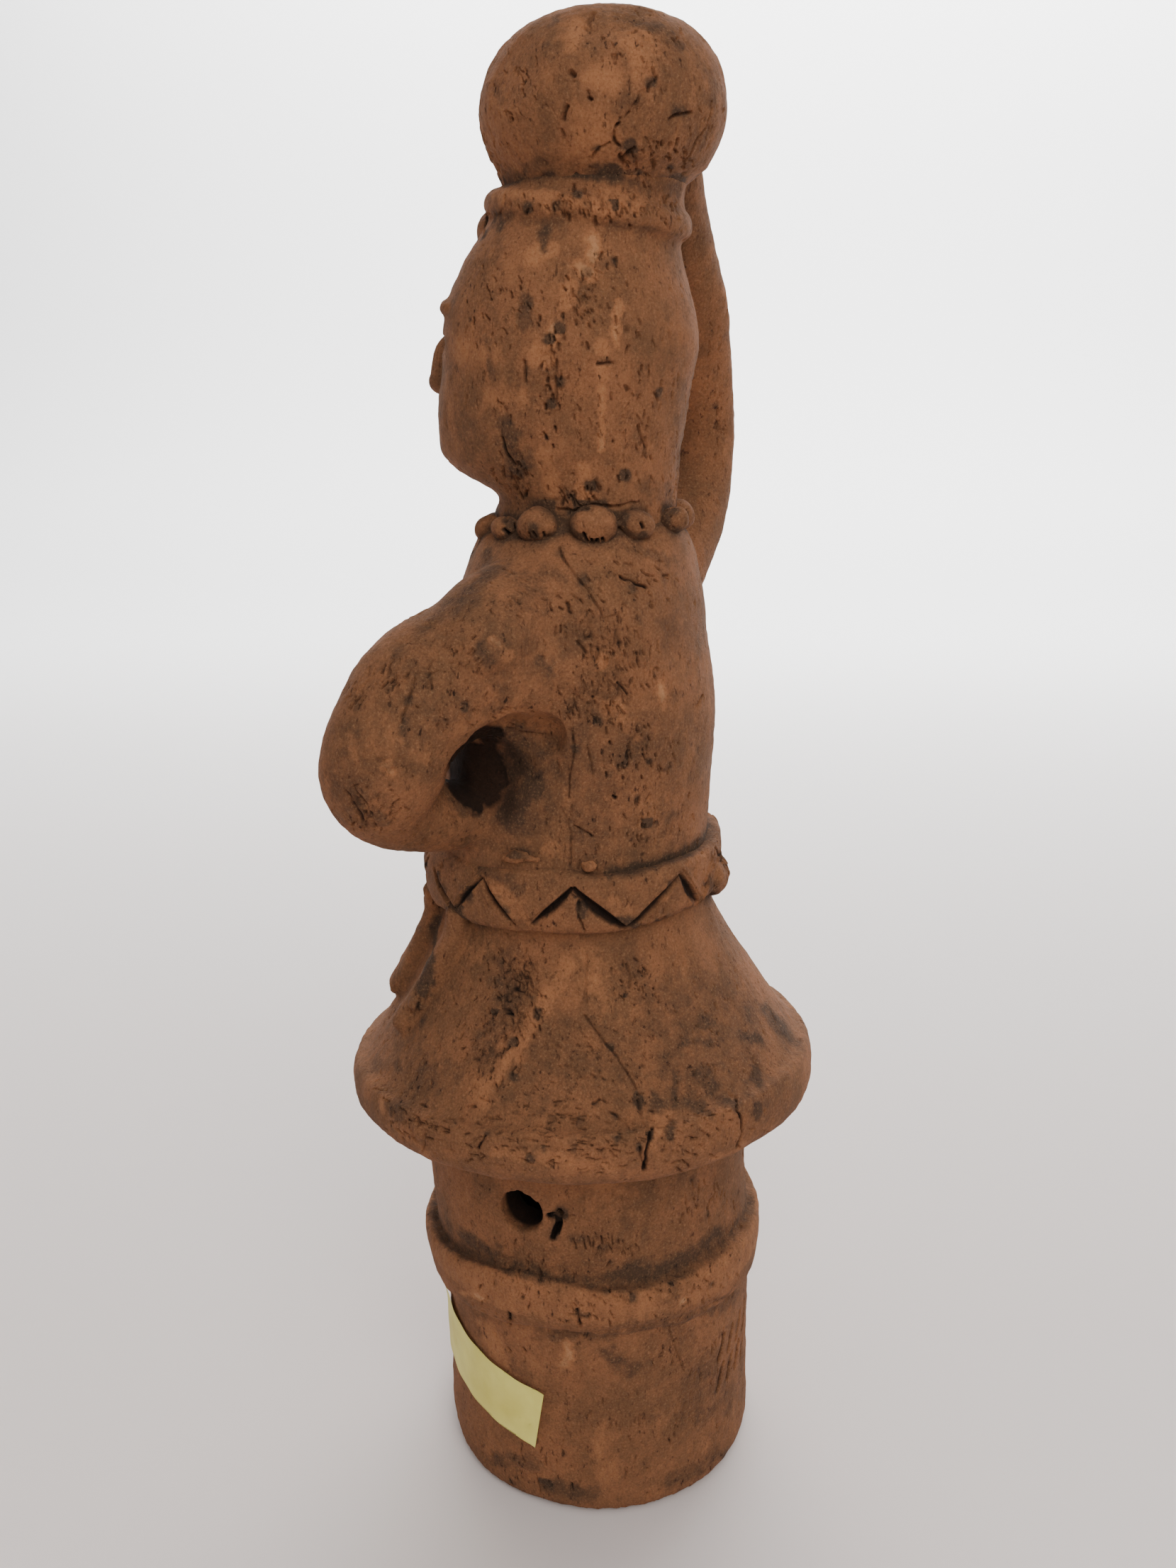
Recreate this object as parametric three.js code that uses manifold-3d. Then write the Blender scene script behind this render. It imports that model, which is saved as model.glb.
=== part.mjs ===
// A haniwa figure in fired red clay, built by hand: a woman who carries a jar on her head, one arm
// raised to it and the other bent to her waist, on a round pedestal. The clay is one hollow solid,
// open underneath, and a small blank paper label is stuck to the pedestal.
// Millimetres, +Z up. The figure faces -Y and +X is its own left side.

import * as THREE from 'three';
import { mergeVertices } from 'three/addons/utils/BufferGeometryUtils.js';
import Module from 'manifold-3d';

// Pedestal
const pedestalRadius = 31.5;
const pedestalWall = 7;
const footRounding = 1.3;
const footSpread = 0.3;
const flangeHeight = 50;
const flangeReach = 3.5;
const flangeWidth = 11;
const sideHoleRadius = 4.15;
const sideHoleHeight = 68;

// Skirt and belt
const hemHeight = 84.4;
const hemRadius = 45.5;
const hemLip = 7.1;
const skirtHeight = 34;
const waistRadius = 25.5;
const beltWidth = 10;
const beltReach = 2.5;
const zigzagStrokes = 22;
const strokeWidth = 1.5;

// Body, head and jar
const bodyWall = 6;
const torsoHeight = 71.6;
const torsoRadius = 24.4;
const shoulderBreadth = 27;
const neckRadius = 16;
const headHeight = 48;
const headRadius = 21.5;
const padRadius = 16.8;
const padWidth = 4.6;
const jarRadius = 19.9;
const jarHeight = 24.5;
const jarGap = 4;
const smallestDetail = 0.05;

// Arms
const bentArmReach = 40;
const bentArmThickness = 19;
const raisedArmReach = 44;
const raisedArmThickness = 14;

// Paper label
const labelLength = 35;
const labelHeight = 14;
const labelThickness = 0.3;
const labelGap = 0.3;
const labelMiddle = 22.6;
const labelSlope = -0.16;

// Heights that follow from the sizes above
const straightHeight = 0.4 * hemHeight;
const waistHeight = hemHeight + skirtHeight;
const beltHeight = waistHeight + 7.4;
const neckHeight = waistHeight + torsoHeight;
const crownHeight = neckHeight + headHeight;
const jarBase = crownHeight + jarGap;
const jarTop = jarBase + jarHeight;
const shoulderHeight = neckHeight - 22;

const clay = new THREE.MeshStandardMaterial({ color: 0x96583a, roughness: 0.95, metalness: 0 });
const paper = new THREE.MeshStandardMaterial({ color: 0xd2ce84, roughness: 0.6, metalness: 0 });
clay.name = 'terracotta';
paper.name = 'yellow_paper';

const wasm = await Module();
wasm.setup();

const radians = THREE.MathUtils.degToRad;
const lerp = THREE.MathUtils.lerp;

// The figure isn't plumb: its axis leans forward up to the waist and back again to the jar.
const leanStations = [
  [0, 0],
  [straightHeight, -0.9],
  [0.68 * hemHeight, -2.8],
  [hemHeight, -4.4],
  [beltHeight, -6.2],
  [neckHeight, -3.7],
  [crownHeight + 0.5 * padWidth, -3.1],
  [jarBase + 0.1 * jarHeight, -0.8],
  [jarTop, 0],
];

function leanAt(z) {
  const above = leanStations.findIndex(([height]) => height > z);
  if (above === 0) return 0;
  if (above < 0) return leanStations.at(-1)[1];
  const [lowZ, low] = leanStations[above - 1];
  const [highZ, high] = leanStations[above];
  return lerp(low, high, (z - lowZ) / (highZ - lowZ));
}

// Moves every vertex of a geometry by a function that changes the vector it is given.
function reshape(geometry, change) {
  const position = geometry.attributes.position;
  const point = new THREE.Vector3();
  for (let i = 0; i < position.count; i += 1) {
    point.fromBufferAttribute(position, i);
    change(point);
    position.setXYZ(i, point.x, point.y, point.z);
  }
  return geometry;
}

// Leans a geometry that was built round the plumb axis.
function leaned(geometry) {
  return reshape(geometry, (point) => {
    point.y += leanAt(point.z);
  });
}

// A closed geometry as a solid with its faces pointing out.
function solid(geometry) {
  const bare = geometry.clone();
  bare.deleteAttribute('normal');
  bare.deleteAttribute('uv');
  const merged = mergeVertices(bare, 1e-4);
  const { array } = merged.attributes.position;
  const triangles = [];
  let volume = 0;
  for (let i = 0; i < merged.index.count; i += 3) {
    const [a, b, c] = [0, 1, 2].map((corner) => merged.index.getX(i + corner));
    if (a === b || b === c || c === a) continue;
    triangles.push([a, b, c]);
    const [pa, pb, pc] = [a, b, c].map((corner) => new THREE.Vector3().fromArray(array, 3 * corner));
    volume += pa.dot(pb.cross(pc));
  }
  if (volume < 0) triangles.forEach((triangle) => triangle.reverse());
  const mesh = new wasm.Mesh({
    numProp: 3,
    vertProperties: new Float32Array(array),
    triVerts: new Uint32Array(triangles.flat()),
  });
  return new wasm.Manifold(mesh);
}

function joined(solids) {
  return solids.reduce((whole, piece) => whole.add(piece));
}

function toGeometry(body) {
  const { vertProperties, triVerts } = body.getMesh();
  const geometry = new THREE.BufferGeometry();
  geometry.setAttribute('position', new THREE.BufferAttribute(new Float32Array(vertProperties), 3));
  geometry.setIndex(new THREE.BufferAttribute(new Uint32Array(triVerts), 1));
  geometry.computeVertexNormals();
  return geometry;
}

// A stack of ovals. Each station is { z, x, y, forward, tilt, rise }: its height, half breadth,
// half depth, how far its middle is moved to the front, how steeply it climbs to the back, and how
// steeply to its left.
function stacked(stations, sides, steps) {
  const sizes = new THREE.CatmullRomCurve3(stations.map(({ z, x, y }) => new THREE.Vector3(x, y, z)));
  const places = new THREE.CatmullRomCurve3(
    stations.map(({ forward = 0, tilt = 0, rise = 0 }) => new THREE.Vector3(forward, tilt, rise)),
  );
  [sizes, places].forEach((curve) => {
    curve.curveType = 'catmullrom';
  });
  const tube = new THREE.CylinderGeometry(1, 1, 1, sides, steps).rotateX(Math.PI / 2);
  return reshape(tube, (point) => {
    const share = THREE.MathUtils.clamp(point.z + 0.5, 0, 1);
    const size = sizes.getPoint(share);
    const place = places.getPoint(share);
    const across = size.x * point.x;
    const depth = size.y * point.y;
    const climb = place.y * depth + place.z * across;
    point.set(across, depth - place.x + leanAt(size.z), size.z + climb);
  });
}

// A ring of clay round the plumb axis, from a closed outline of [radius, height] points.
function ring(outline, sides, change = () => {}) {
  const points = [...outline, outline[0]].map(([radius, z]) => new THREE.Vector2(radius, z));
  const lathe = new THREE.LatheGeometry(points, sides).rotateX(Math.PI / 2);
  return leaned(reshape(lathe, change));
}

// A lump of clay with three half sizes, turned to face away from the axis at an angle.
function lump(sizes, angle, radius, z, roll = 0) {
  return new THREE.SphereGeometry(1, 8, 4)
    .scale(...sizes)
    .rotateX(roll)
    .translate(radius, 0, z)
    .rotateZ(radians(angle))
    .translate(0, leanAt(z), 0);
}

// A limb along a smooth path of { at, wide, thick } stations, with a round end.
function limb(stations, sides, steps) {
  const path = new THREE.CatmullRomCurve3(stations.map(({ at }) => new THREE.Vector3(...at)));
  const sizes = new THREE.CatmullRomCurve3(
    stations.map(({ wide, thick = wide }) => new THREE.Vector3(wide, thick, 0)),
  );
  const { normals, binormals } = path.computeFrenetFrames(steps, false);
  const tube = new THREE.CylinderGeometry(1, 1, 1, sides, steps).rotateX(Math.PI / 2);
  return reshape(tube, (point) => {
    const share = THREE.MathUtils.clamp(point.z + 0.5, 0, 1);
    const step = Math.round(share * steps);
    const size = sizes.getPoint(share);
    const rounding = Math.sqrt(Math.max(0.16, 1 - Math.max(0, (share - 0.9) / 0.1) ** 2));
    const across = normals[step].clone().multiplyScalar(size.x * rounding * point.x);
    const through = binormals[step].clone().multiplyScalar(size.y * rounding * point.y);
    point.copy(path.getPointAt(share)).add(across).add(through);
  });
}

// Straight groove in a round surface, from one angle and height to another.
function groove(radius, start, end, width) {
  const [from, to] = [start, end].map(
    ([angle, z]) =>
      new THREE.Vector3(
        radius * Math.cos(radians(angle)),
        radius * Math.sin(radians(angle)) + leanAt(z),
        z,
      ),
  );
  const along = to.clone().sub(from);
  const side = width / Math.SQRT2;
  const bar = new THREE.BoxGeometry(side, side, along.length()).rotateZ(Math.PI / 4);
  const middle = from.clone().add(to).multiplyScalar(0.5);
  const outward = new THREE.Vector3(middle.x, middle.y - leanAt(middle.z), 0).normalize();
  const forward = along.normalize();
  const sideways = new THREE.Vector3().crossVectors(forward, outward).normalize();
  const squared = new THREE.Vector3().crossVectors(sideways, forward);
  const turn = new THREE.Matrix4().makeBasis(squared, sideways, forward).setPosition(middle);
  return bar.applyMatrix4(turn);
}

// Pedestal

function pedestal() {
  const top = hemHeight + 4;
  const outline = [new THREE.Vector2(0, 0)];
  for (let step = 0; step <= 3; step += 1) {
    const angle = (step / 3) * (Math.PI / 2);
    const radius = pedestalRadius + footSpread - footRounding * (1 - Math.sin(angle));
    outline.push(new THREE.Vector2(radius, footRounding * (1 - Math.cos(angle))));
  }
  outline.push(new THREE.Vector2(pedestalRadius, straightHeight));
  outline.push(new THREE.Vector2(pedestalRadius + 0.5, flangeHeight));
  outline.push(new THREE.Vector2(pedestalRadius + 0.5, top));
  outline.push(new THREE.Vector2(0, top));
  return leaned(new THREE.LatheGeometry(outline, 32).rotateX(Math.PI / 2));
}

// The flange is a rope of clay, smoothed down to the wall below and left with a crisp lip above.
function flange() {
  const inside = pedestalRadius - 2.5;
  const low = flangeHeight - flangeWidth;
  const outline = [
    [inside, low],
    [pedestalRadius + 0.2, low + 0.3],
    [pedestalRadius + 0.7 * flangeReach, low + 0.45 * flangeWidth],
    [pedestalRadius + flangeReach, low + 0.87 * flangeWidth],
    [pedestalRadius + 0.8 * flangeReach, flangeHeight + 0.4],
    [pedestalRadius + 0.4 * flangeReach, flangeHeight],
    [inside, flangeHeight + 1.4],
  ];
  return ring(outline, 30, (point) => {
    const angle = Math.atan2(point.y, point.x);
    point.z += 2.8 * Math.cos(angle - 0.1) + 1.5 * Math.cos(2 * angle) + 2.8 * Math.sin(angle);
    point.multiply(new THREE.Vector3(1, 1 + 0.008 * Math.sin(angle), 1));
  });
}

function sideHoles() {
  const length = 3 * pedestalRadius;
  return new THREE.CylinderGeometry(sideHoleRadius, sideHoleRadius, length, 20)
    .rotateZ(Math.PI / 2)
    .translate(0, leanAt(sideHoleHeight), sideHoleHeight);
}

// A ragged chip right through the wall, beside the left hole.
function chip() {
  const upper = new THREE.SphereGeometry(1, 8, 6)
    .scale(pedestalWall, 1.2, 1.7)
    .translate(pedestalRadius - 2, 0, sideHoleHeight + 0.2)
    .rotateZ(radians(13));
  const lower = new THREE.SphereGeometry(1, 8, 6)
    .scale(pedestalWall, 0.8, 2.2)
    .translate(pedestalRadius - 2, 0, sideHoleHeight - 2.6)
    .rotateZ(radians(12));
  const moved = [upper, lower].map((piece) => piece.translate(0, leanAt(sideHoleHeight), 0));
  return joined(moved.map(solid));
}

// Rows of shallow strokes at the back of the pedestal.
function marks() {
  const strokes = [];
  for (let row = 0; row < 2; row += 1) {
    for (let column = 0; column < 4; column += 1) {
      const angle = 72 + 6.5 * column;
      const z = 19 + 6.4 * row;
      const start = [angle - 1.8, z - 2.2];
      const end = [angle + 1.6, z + 2.2];
      strokes.push(groove(pedestalRadius + 0.1, start, end, 1.1));
    }
  }
  return joined(strokes.map(solid));
}

// Body, from the underside of the skirt's hem to the crown of the head

function skirtStations() {
  const tilt = 0.085;
  const rise = 0.08;
  const stations = [{ z: hemHeight - 0.4, x: pedestalRadius - 2.5, tilt, rise }];
  const lip = [[-0.9, -0.55], [-0.35, -0.98], [0.35, -0.98], [0.83, -0.66], [0.99, -0.15], [0.87, 0.5]];
  lip.forEach(([out, up]) => {
    stations.push({ z: hemHeight + up * hemLip, x: hemRadius - hemLip + out * hemLip, tilt, rise });
  });
  for (let share = 0.15; share < 1.01; share += 0.17) {
    const z = hemHeight + share * skirtHeight;
    const left = 1 - share;
    stations.push({ z, x: skirtRadius(z), tilt: tilt * (0.6 + 0.4 * left), rise: rise * left });
  }
  return stations.map((station) => ({ ...station, y: station.x }));
}

function torsoStations() {
  const shape = [
    [0.12, waistRadius + 0.6, waistRadius],
    [0.26, torsoRadius + 1.8, torsoRadius + 0.5],
    [0.46, torsoRadius + 2.1, torsoRadius + 0.5],
    [0.6, shoulderBreadth, torsoRadius - 0.4],
    [0.7, shoulderBreadth, torsoRadius - 2],
    [0.8, shoulderBreadth - 0.8, torsoRadius - 3.1],
    [0.87, shoulderBreadth - 3.2, torsoRadius - 4.3],
    [0.92, neckRadius + 5.2, neckRadius + 3.2],
    [0.965, neckRadius + 2, neckRadius + 1.6],
    [1, neckRadius + 0.2, neckRadius + 0.2],
  ];
  return shape.map(([share, x, y]) => ({ z: waistHeight + share * torsoHeight, x, y }));
}

function headStations() {
  const shape = [
    [0.07, -5.5, -5.9, -0.2],
    [0.14, -4.4, -3.2, 2.5],
    [0.21, -3, -0.4, 5],
    [0.3, -2.2, 0.1, 4.9],
    [0.39, -1.8, 0.2, 4.5],
    [0.5, -1.4, 0.2, 3.6],
    [0.6, -1.4, 0.4, 3.1],
    [0.7, -2, -0.5, 3.1],
    [0.79, -3, -2.2, 2.8],
    [0.87, -4.1, -3.8, 2.3],
    [0.935, -5.2, -5.2, 1.1],
    [1, -5.5, -5.6, 0],
  ];
  const stations = shape.map(([share, x, y, forward]) => ({
    z: neckHeight + share * headHeight,
    x: headRadius + x,
    y: headRadius + y,
    forward,
  }));
  stations.push({ z: jarBase, x: padRadius - 1.5, y: padRadius - 1.5 });
  stations.push({ z: jarBase + 2.5, x: padRadius - 2.2, y: padRadius - 2.2 });
  return stations;
}

const bodyStations = [...skirtStations(), ...torsoStations(), ...headStations()];

// Radius of the skirt at a height, for what lies on it.
function skirtRadius(z) {
  const share = THREE.MathUtils.clamp((z - hemHeight) / skirtHeight, 0, 1);
  return waistRadius + (hemRadius - waistRadius) * (1 - share) ** 1.25;
}

// The hollow follows the outside at the wall's thickness, up into the jar.
function hollow() {
  const inner = pedestalRadius - pedestalWall;
  const stations = [
    { z: -1, x: inner, y: inner },
    { z: 0.45 * hemHeight, x: inner, y: inner },
    { z: hemHeight - 4, x: inner, y: inner },
    { z: lerp(hemHeight, waistHeight, 0.5), x: inner - 1.5, y: inner - 1.5 },
  ];
  const above = [...torsoStations(), ...headStations()].filter((_, index) => index % 2 === 0);
  above.forEach(({ z, x, y, forward }) => {
    stations.push({ z, x: x - bodyWall, y: y - bodyWall, forward });
  });
  const inJar = jarRadius - bodyWall;
  stations.push({ z: jarBase + 0.2 * jarHeight, x: 0.8 * inJar, y: 0.8 * inJar });
  stations.push({ z: jarBase + 0.4 * jarHeight, x: inJar, y: inJar });
  stations.push({ z: jarBase + 0.62 * jarHeight, x: 0.85 * inJar, y: 0.85 * inJar });
  stations.push({ z: jarTop - bodyWall, x: 0.35 * inJar, y: 0.35 * inJar });
  return stacked(stations, 14, 16);
}

// Belt with its incised zigzag, its knot at the back and the sash ends in front

function belt() {
  const inside = waistRadius - 4;
  const half = beltWidth / 2;
  const outline = [
    [inside, beltHeight - half],
    [waistRadius + 0.4 * beltReach, beltHeight - half],
    [waistRadius + beltReach, beltHeight - 0.6 * half],
    [waistRadius + beltReach, beltHeight + 0.75 * half],
    [waistRadius + 0.6 * beltReach, beltHeight + half],
    [inside, beltHeight + half],
  ];
  return ring(outline, 27, (point) => {
    point.x *= 1.02;
    point.z += 0.045 * point.y + 0.4 * Math.sin(2 * Math.atan2(point.y, point.x) + 1);
  });
}

function zigzag() {
  const step = 360 / zigzagStrokes;
  const strokes = [];
  for (let stroke = 0; stroke < zigzagStrokes; stroke += 1) {
    const angle = -41 + stroke * step;
    const swing = 0.36 * beltWidth * (stroke % 2 === 0 ? -1 : 1);
    const drop = 0.045 * waistRadius * Math.sin(radians(angle + step / 2));
    const start = [angle + 0.08 * step, beltHeight + drop - swing];
    const end = [angle + 0.92 * step, beltHeight + drop + swing];
    strokes.push(groove(waistRadius + beltReach + 0.3, start, end, strokeWidth));
  }
  return joined(strokes.map(solid));
}

function knot() {
  const radius = waistRadius + beltReach - 2;
  return [
    lump([2.6, 6, 3.4], 104, radius - 0.5, beltHeight + 2.4, 0.2),
    lump([3.4, 7, 4.3], 106, radius + 0.3, beltHeight - 3.4, -0.25),
  ];
}

// A sash end hangs on the skirt from the belt, from one angle to another.
function sashEnd(fromAngle, toAngle, length) {
  const stations = [];
  for (let share = 0; share <= 1; share += 0.25) {
    const angle = radians(lerp(fromAngle, toAngle, share));
    const plumbZ = beltHeight - 3 - share * length;
    const radius = skirtRadius(plumbZ) + 0.6;
    const y = radius * Math.sin(angle);
    const at = [radius * Math.cos(angle), y + leanAt(plumbZ), plumbZ + 0.075 * y];
    stations.push({ at, wide: 2.5 + 0.5 * share, thick: 2.5 + 0.5 * share });
  }
  return limb(stations, 7, 5);
}

// Necklace of clay pellets: the angle of each round the neck, and its half width.
const pellets = [
  [-56, 2.5], [-31, 2.5], [-7, 3.1], [27, 3.8], [53, 2.8], [85, 2.7], [113, 3.1],
  [141, 2.8], [168, 3.2], [196, 2.7], [224, 3], [252, 2.6], [278, 2.7],
];

function necklace() {
  return pellets.map(([angle, half]) => {
    const z = neckHeight - 0.4 + 2.4 * Math.min(0, Math.sin(radians(angle)));
    return lump([2.9, half, 0.92 * half], angle, neckRadius + 0.7, z);
  });
}

// Face: pierced eyes and mouth, a wedge of a nose, brows, and the lump of hair over the forehead

function faceDepth(share) {
  const { y, forward } = headStations().reduce((near, station) => {
    const aim = neckHeight + share * headHeight;
    return Math.abs(station.z - aim) < Math.abs(near.z - aim) ? station : near;
  });
  return leanAt(neckHeight + share * headHeight) - forward - y;
}

function nose() {
  const base = neckHeight + 0.425 * headHeight;
  const height = 0.2 * headHeight;
  const profile = new THREE.Shape([
    new THREE.Vector2(-3, 0),
    new THREE.Vector2(3.6, 0.4),
    new THREE.Vector2(4.6, 2.6),
    new THREE.Vector2(0.4, height),
    new THREE.Vector2(-3, height),
  ]);
  const options = { depth: 3.6, bevelEnabled: true, bevelSize: 0.8, bevelThickness: 1.2, bevelSegments: 1 };
  const wedge = new THREE.ExtrudeGeometry(profile, options);
  reshape(wedge, (point) => {
    const narrow = lerp(1.15, 0.6, point.y / height);
    point.set((point.z - 1.8) * narrow, -point.x, point.y);
  });
  return wedge.translate(0, faceDepth(0.5) + 1.2, base);
}

function brows() {
  const z = neckHeight + 0.7 * headHeight;
  return [-1, 1].map((side) =>
    new THREE.SphereGeometry(1, 8, 4)
      .scale(6.4, 1.8, 1.4)
      .rotateZ(0.38 * side)
      .translate(7 * side, faceDepth(0.7) + 2.4, z),
  );
}

function hairLump() {
  const z = crownHeight - 3;
  return new THREE.SphereGeometry(1, 10, 8)
    .scale(7, 3.6, 4.6)
    .rotateX(0.25)
    .translate(0, leanAt(z) - padRadius + 1.4, z);
}

function slit(x, z, width, height, slope) {
  return new THREE.CylinderGeometry(1, 1, 16, 10)
    .scale(width / 2, 1, height / 2)
    .rotateY(slope)
    .translate(x, faceDepth(0.5) + 4, z);
}

function faceSlits() {
  const eyeZ = neckHeight + 0.59 * headHeight;
  const mouthZ = neckHeight + 0.29 * headHeight;
  const slits = [-1, 1].map((side) => slit(7.6 * side, eyeZ, 8.5, 2.8, 0.08 * side));
  slits.push(slit(0, mouthZ, 10, 2, 0));
  return joined(slits.map(solid));
}

// Ring pad and jar

function pad() {
  const half = padWidth / 2;
  const outline = [
    [padRadius - 5, crownHeight - half],
    [padRadius - 1, crownHeight - half],
    [padRadius - 0.1, crownHeight - 0.4 * half],
    [padRadius - 0.1, crownHeight + 0.4 * half],
    [padRadius - 0.9, crownHeight + half],
    [padRadius - 5, crownHeight + half],
  ];
  return ring(outline, 24, (point) => {
    point.z -= 0.09 * point.y;
  });
}

function jar() {
  const share = [
    [0.7, -0.06], [0.8, 0.03], [0.9, 0.13], [0.975, 0.28], [1, 0.42], [0.975, 0.56],
    [0.91, 0.7], [0.8, 0.82], [0.63, 0.92], [0.4, 0.98], [0, 1],
  ];
  const outline = share.map(([r, z]) => new THREE.Vector2(r * jarRadius, jarBase + z * jarHeight));
  outline.unshift(new THREE.Vector2(0, jarBase - 0.06 * jarHeight));
  return leaned(new THREE.LatheGeometry(outline, 26).rotateX(Math.PI / 2));
}

// Arms

// The left arm bends at the elbow like the handle of a jug and comes back to the waist.
function bentArm() {
  const half = bentArmThickness / 2;
  const stations = [
    { at: [0.2 * bentArmReach, -2, shoulderHeight - 3], wide: 1.35 * half, thick: 1.75 * half },
    { at: [0.45 * bentArmReach, -8, shoulderHeight - 0.3], wide: 1.27 * half, thick: 1.55 * half },
    { at: [0.66 * bentArmReach, -13.5, shoulderHeight + 0.2], wide: 1.22 * half, thick: 1.32 * half },
    { at: [0.84 * bentArmReach, -17.8, shoulderHeight - 3.6], wide: 1.18 * half },
    { at: [0.965 * bentArmReach, -22.2, shoulderHeight - 10.8], wide: 1.09 * half },
    { at: [0.99 * bentArmReach, -24.7, shoulderHeight - 17.2], wide: half },
    { at: [0.88 * bentArmReach, -24, shoulderHeight - 22], wide: 0.8 * half },
    { at: [0.67 * bentArmReach, -19.5, shoulderHeight - 27], wide: 0.64 * half },
    { at: [0.42 * bentArmReach, -14, shoulderHeight - 29], wide: 0.6 * half },
  ];
  return limb(stations, 12, 14);
}

// The right arm goes up beside the head, and its flat hand lies on the jar.
function raisedArm() {
  const half = raisedArmThickness / 2;
  const route = [
    [-0.36, -1, 0, 1.3],
    [-0.64, 1, 0.1, 1.25],
    [-0.91, 3.2, 0.24, 1.12],
    [-1, 3.2, 0.38, 1],
    [-0.955, 2.4, 0.52, 0.97],
    [-0.82, 2.4, 0.68, 0.92],
    [-0.64, 2.8, 0.82, 0.92],
    [-0.46, 3.3, 0.94, 0.9],
  ];
  const stations = route.map(([x, y, share, size], index) => ({
    at: [x * raisedArmReach, y, lerp(shoulderHeight, jarBase + 0.4 * jarHeight, share)],
    wide: size * half,
    thick: size * half * (index > 5 ? 0.75 : 1),
  }));
  return limb(stations, 10, 14);
}

function figureGeometry() {
  const outside = [
    pedestal(),
    flange(),
    stacked(bodyStations, 28, 37),
    belt(),
    ...knot(),
    sashEnd(-27, -42, 22),
    sashEnd(-61, -67, 23),
    sashEnd(-80, -84, 27),
    ...necklace(),
    nose(),
    ...brows(),
    hairLump(),
    pad(),
    jar(),
    bentArm(),
    raisedArm(),
  ];
  const cuts = [solid(hollow()), solid(sideHoles()), chip(), marks(), zigzag(), faceSlits()];
  return toGeometry(joined(outside.map(solid)).subtract(joined(cuts)).simplify(smallestDetail));
}

// A thin sheet bent round the pedestal, a little higher at its left end.
function labelGeometry() {
  const sheet = new THREE.BoxGeometry(labelLength, labelThickness, labelHeight, 12, 1, 1);
  const radius = pedestalRadius + labelGap + labelThickness / 2;
  const rightEnd = 3.5;
  return reshape(sheet, (point) => {
    const reach = point.x - labelLength / 2;
    const angle = radians(rightEnd) + (reach - labelSlope * point.z) / radius;
    const out = radius - point.y;
    const z = labelMiddle + point.z + labelSlope * (point.x - labelLength / 4);
    point.set(out * Math.cos(angle), out * Math.sin(angle) + leanAt(z), z);
  });
}

const figure = new THREE.Mesh(figureGeometry(), clay);
figure.name = 'figure';
const label = new THREE.Mesh(labelGeometry(), paper);
label.name = 'paper_label';

// The origin is on the ground, under the middle of the figure's outline.
const model = new THREE.Group();
model.add(figure, label);
const middle = new THREE.Box3().setFromObject(model).getCenter(new THREE.Vector3());
model.position.set(-middle.x, -middle.y, 0);

export default model;
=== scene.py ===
import math

import bmesh
import bpy
import numpy as np
from mathutils import Matrix, Vector
from mathutils.bvhtree import BVHTree
from mathutils.kdtree import KDTree


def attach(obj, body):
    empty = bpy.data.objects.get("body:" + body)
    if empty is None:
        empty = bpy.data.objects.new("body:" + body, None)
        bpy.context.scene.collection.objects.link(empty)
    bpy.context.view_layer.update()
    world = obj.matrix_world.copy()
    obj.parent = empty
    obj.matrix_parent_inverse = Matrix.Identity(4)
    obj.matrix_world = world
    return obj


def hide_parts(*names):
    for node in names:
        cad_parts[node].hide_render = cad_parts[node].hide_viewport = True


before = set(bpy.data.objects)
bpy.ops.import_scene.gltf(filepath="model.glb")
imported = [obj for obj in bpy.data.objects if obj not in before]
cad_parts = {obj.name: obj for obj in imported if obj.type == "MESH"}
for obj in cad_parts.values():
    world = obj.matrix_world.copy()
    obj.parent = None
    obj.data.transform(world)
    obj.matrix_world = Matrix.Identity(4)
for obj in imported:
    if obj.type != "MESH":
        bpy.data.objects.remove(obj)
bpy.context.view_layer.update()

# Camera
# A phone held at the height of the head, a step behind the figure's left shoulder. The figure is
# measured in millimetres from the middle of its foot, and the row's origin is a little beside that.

foot_in_row = Vector((0.847, 4.304, 0.0))
into_row = Matrix.Scale(0.001, 4) @ Matrix.Translation(foot_in_row)

photo_wide, photo_high = 1659, 2212
lens, sensor = 29.13, 36.0
eye = Vector((209.7, 81.5, 213.4))
ahead = Vector((-0.8823, -0.3565, -0.3084)).normalized()
rightward = ahead.cross(Vector((0, 0, 1))).normalized()
upward = rightward.cross(ahead)
pixels_ahead = lens / sensor * photo_high

camera_data = bpy.data.cameras.new("camera")
camera_data.lens = lens
camera_data.sensor_width = sensor
camera_data.clip_start = 0.01
camera = bpy.data.objects.new("camera", camera_data)
camera.location = into_row @ eye
camera.rotation_euler = ahead.to_track_quat("-Z", "Y").to_euler()
bpy.context.scene.collection.objects.link(camera)
bpy.context.scene.camera = camera


def sight_line(x, y):
    """Direction of the line from the camera through a point of the photograph."""
    across = (x - photo_wide / 2) / pixels_ahead
    above = (photo_high / 2 - y) / pixels_ahead
    return (ahead + rightward * across + upward * above).normalized()


# Pedestal
# A tube of coarse red clay, rolled and luted, that a pair of round holes goes through. A rope of
# clay is pressed on round its middle, smoothed down to the wall below and left with a lip above.

skirt_long, torso_long, head_long = 34.0, 71.6, 48.0
hem_height = 84.4
waist_height = hem_height + skirt_long
belt_height = waist_height + 7.4
neck_height = waist_height + torso_long
crown_height = neck_height + head_long
jar_base = crown_height + 4.0
jar_height = 24.5
shoulder_height = neck_height - 22.0

axis_heights = [0, 33.8, 57.4, hem_height, belt_height, neck_height, crown_height + 2.3, jar_base + 2.5, 270]
axis_leans = [-0.5, -1.0, -2.8, -4.4, -6.2, -3.7, -3.1, -0.8, 0]


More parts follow.
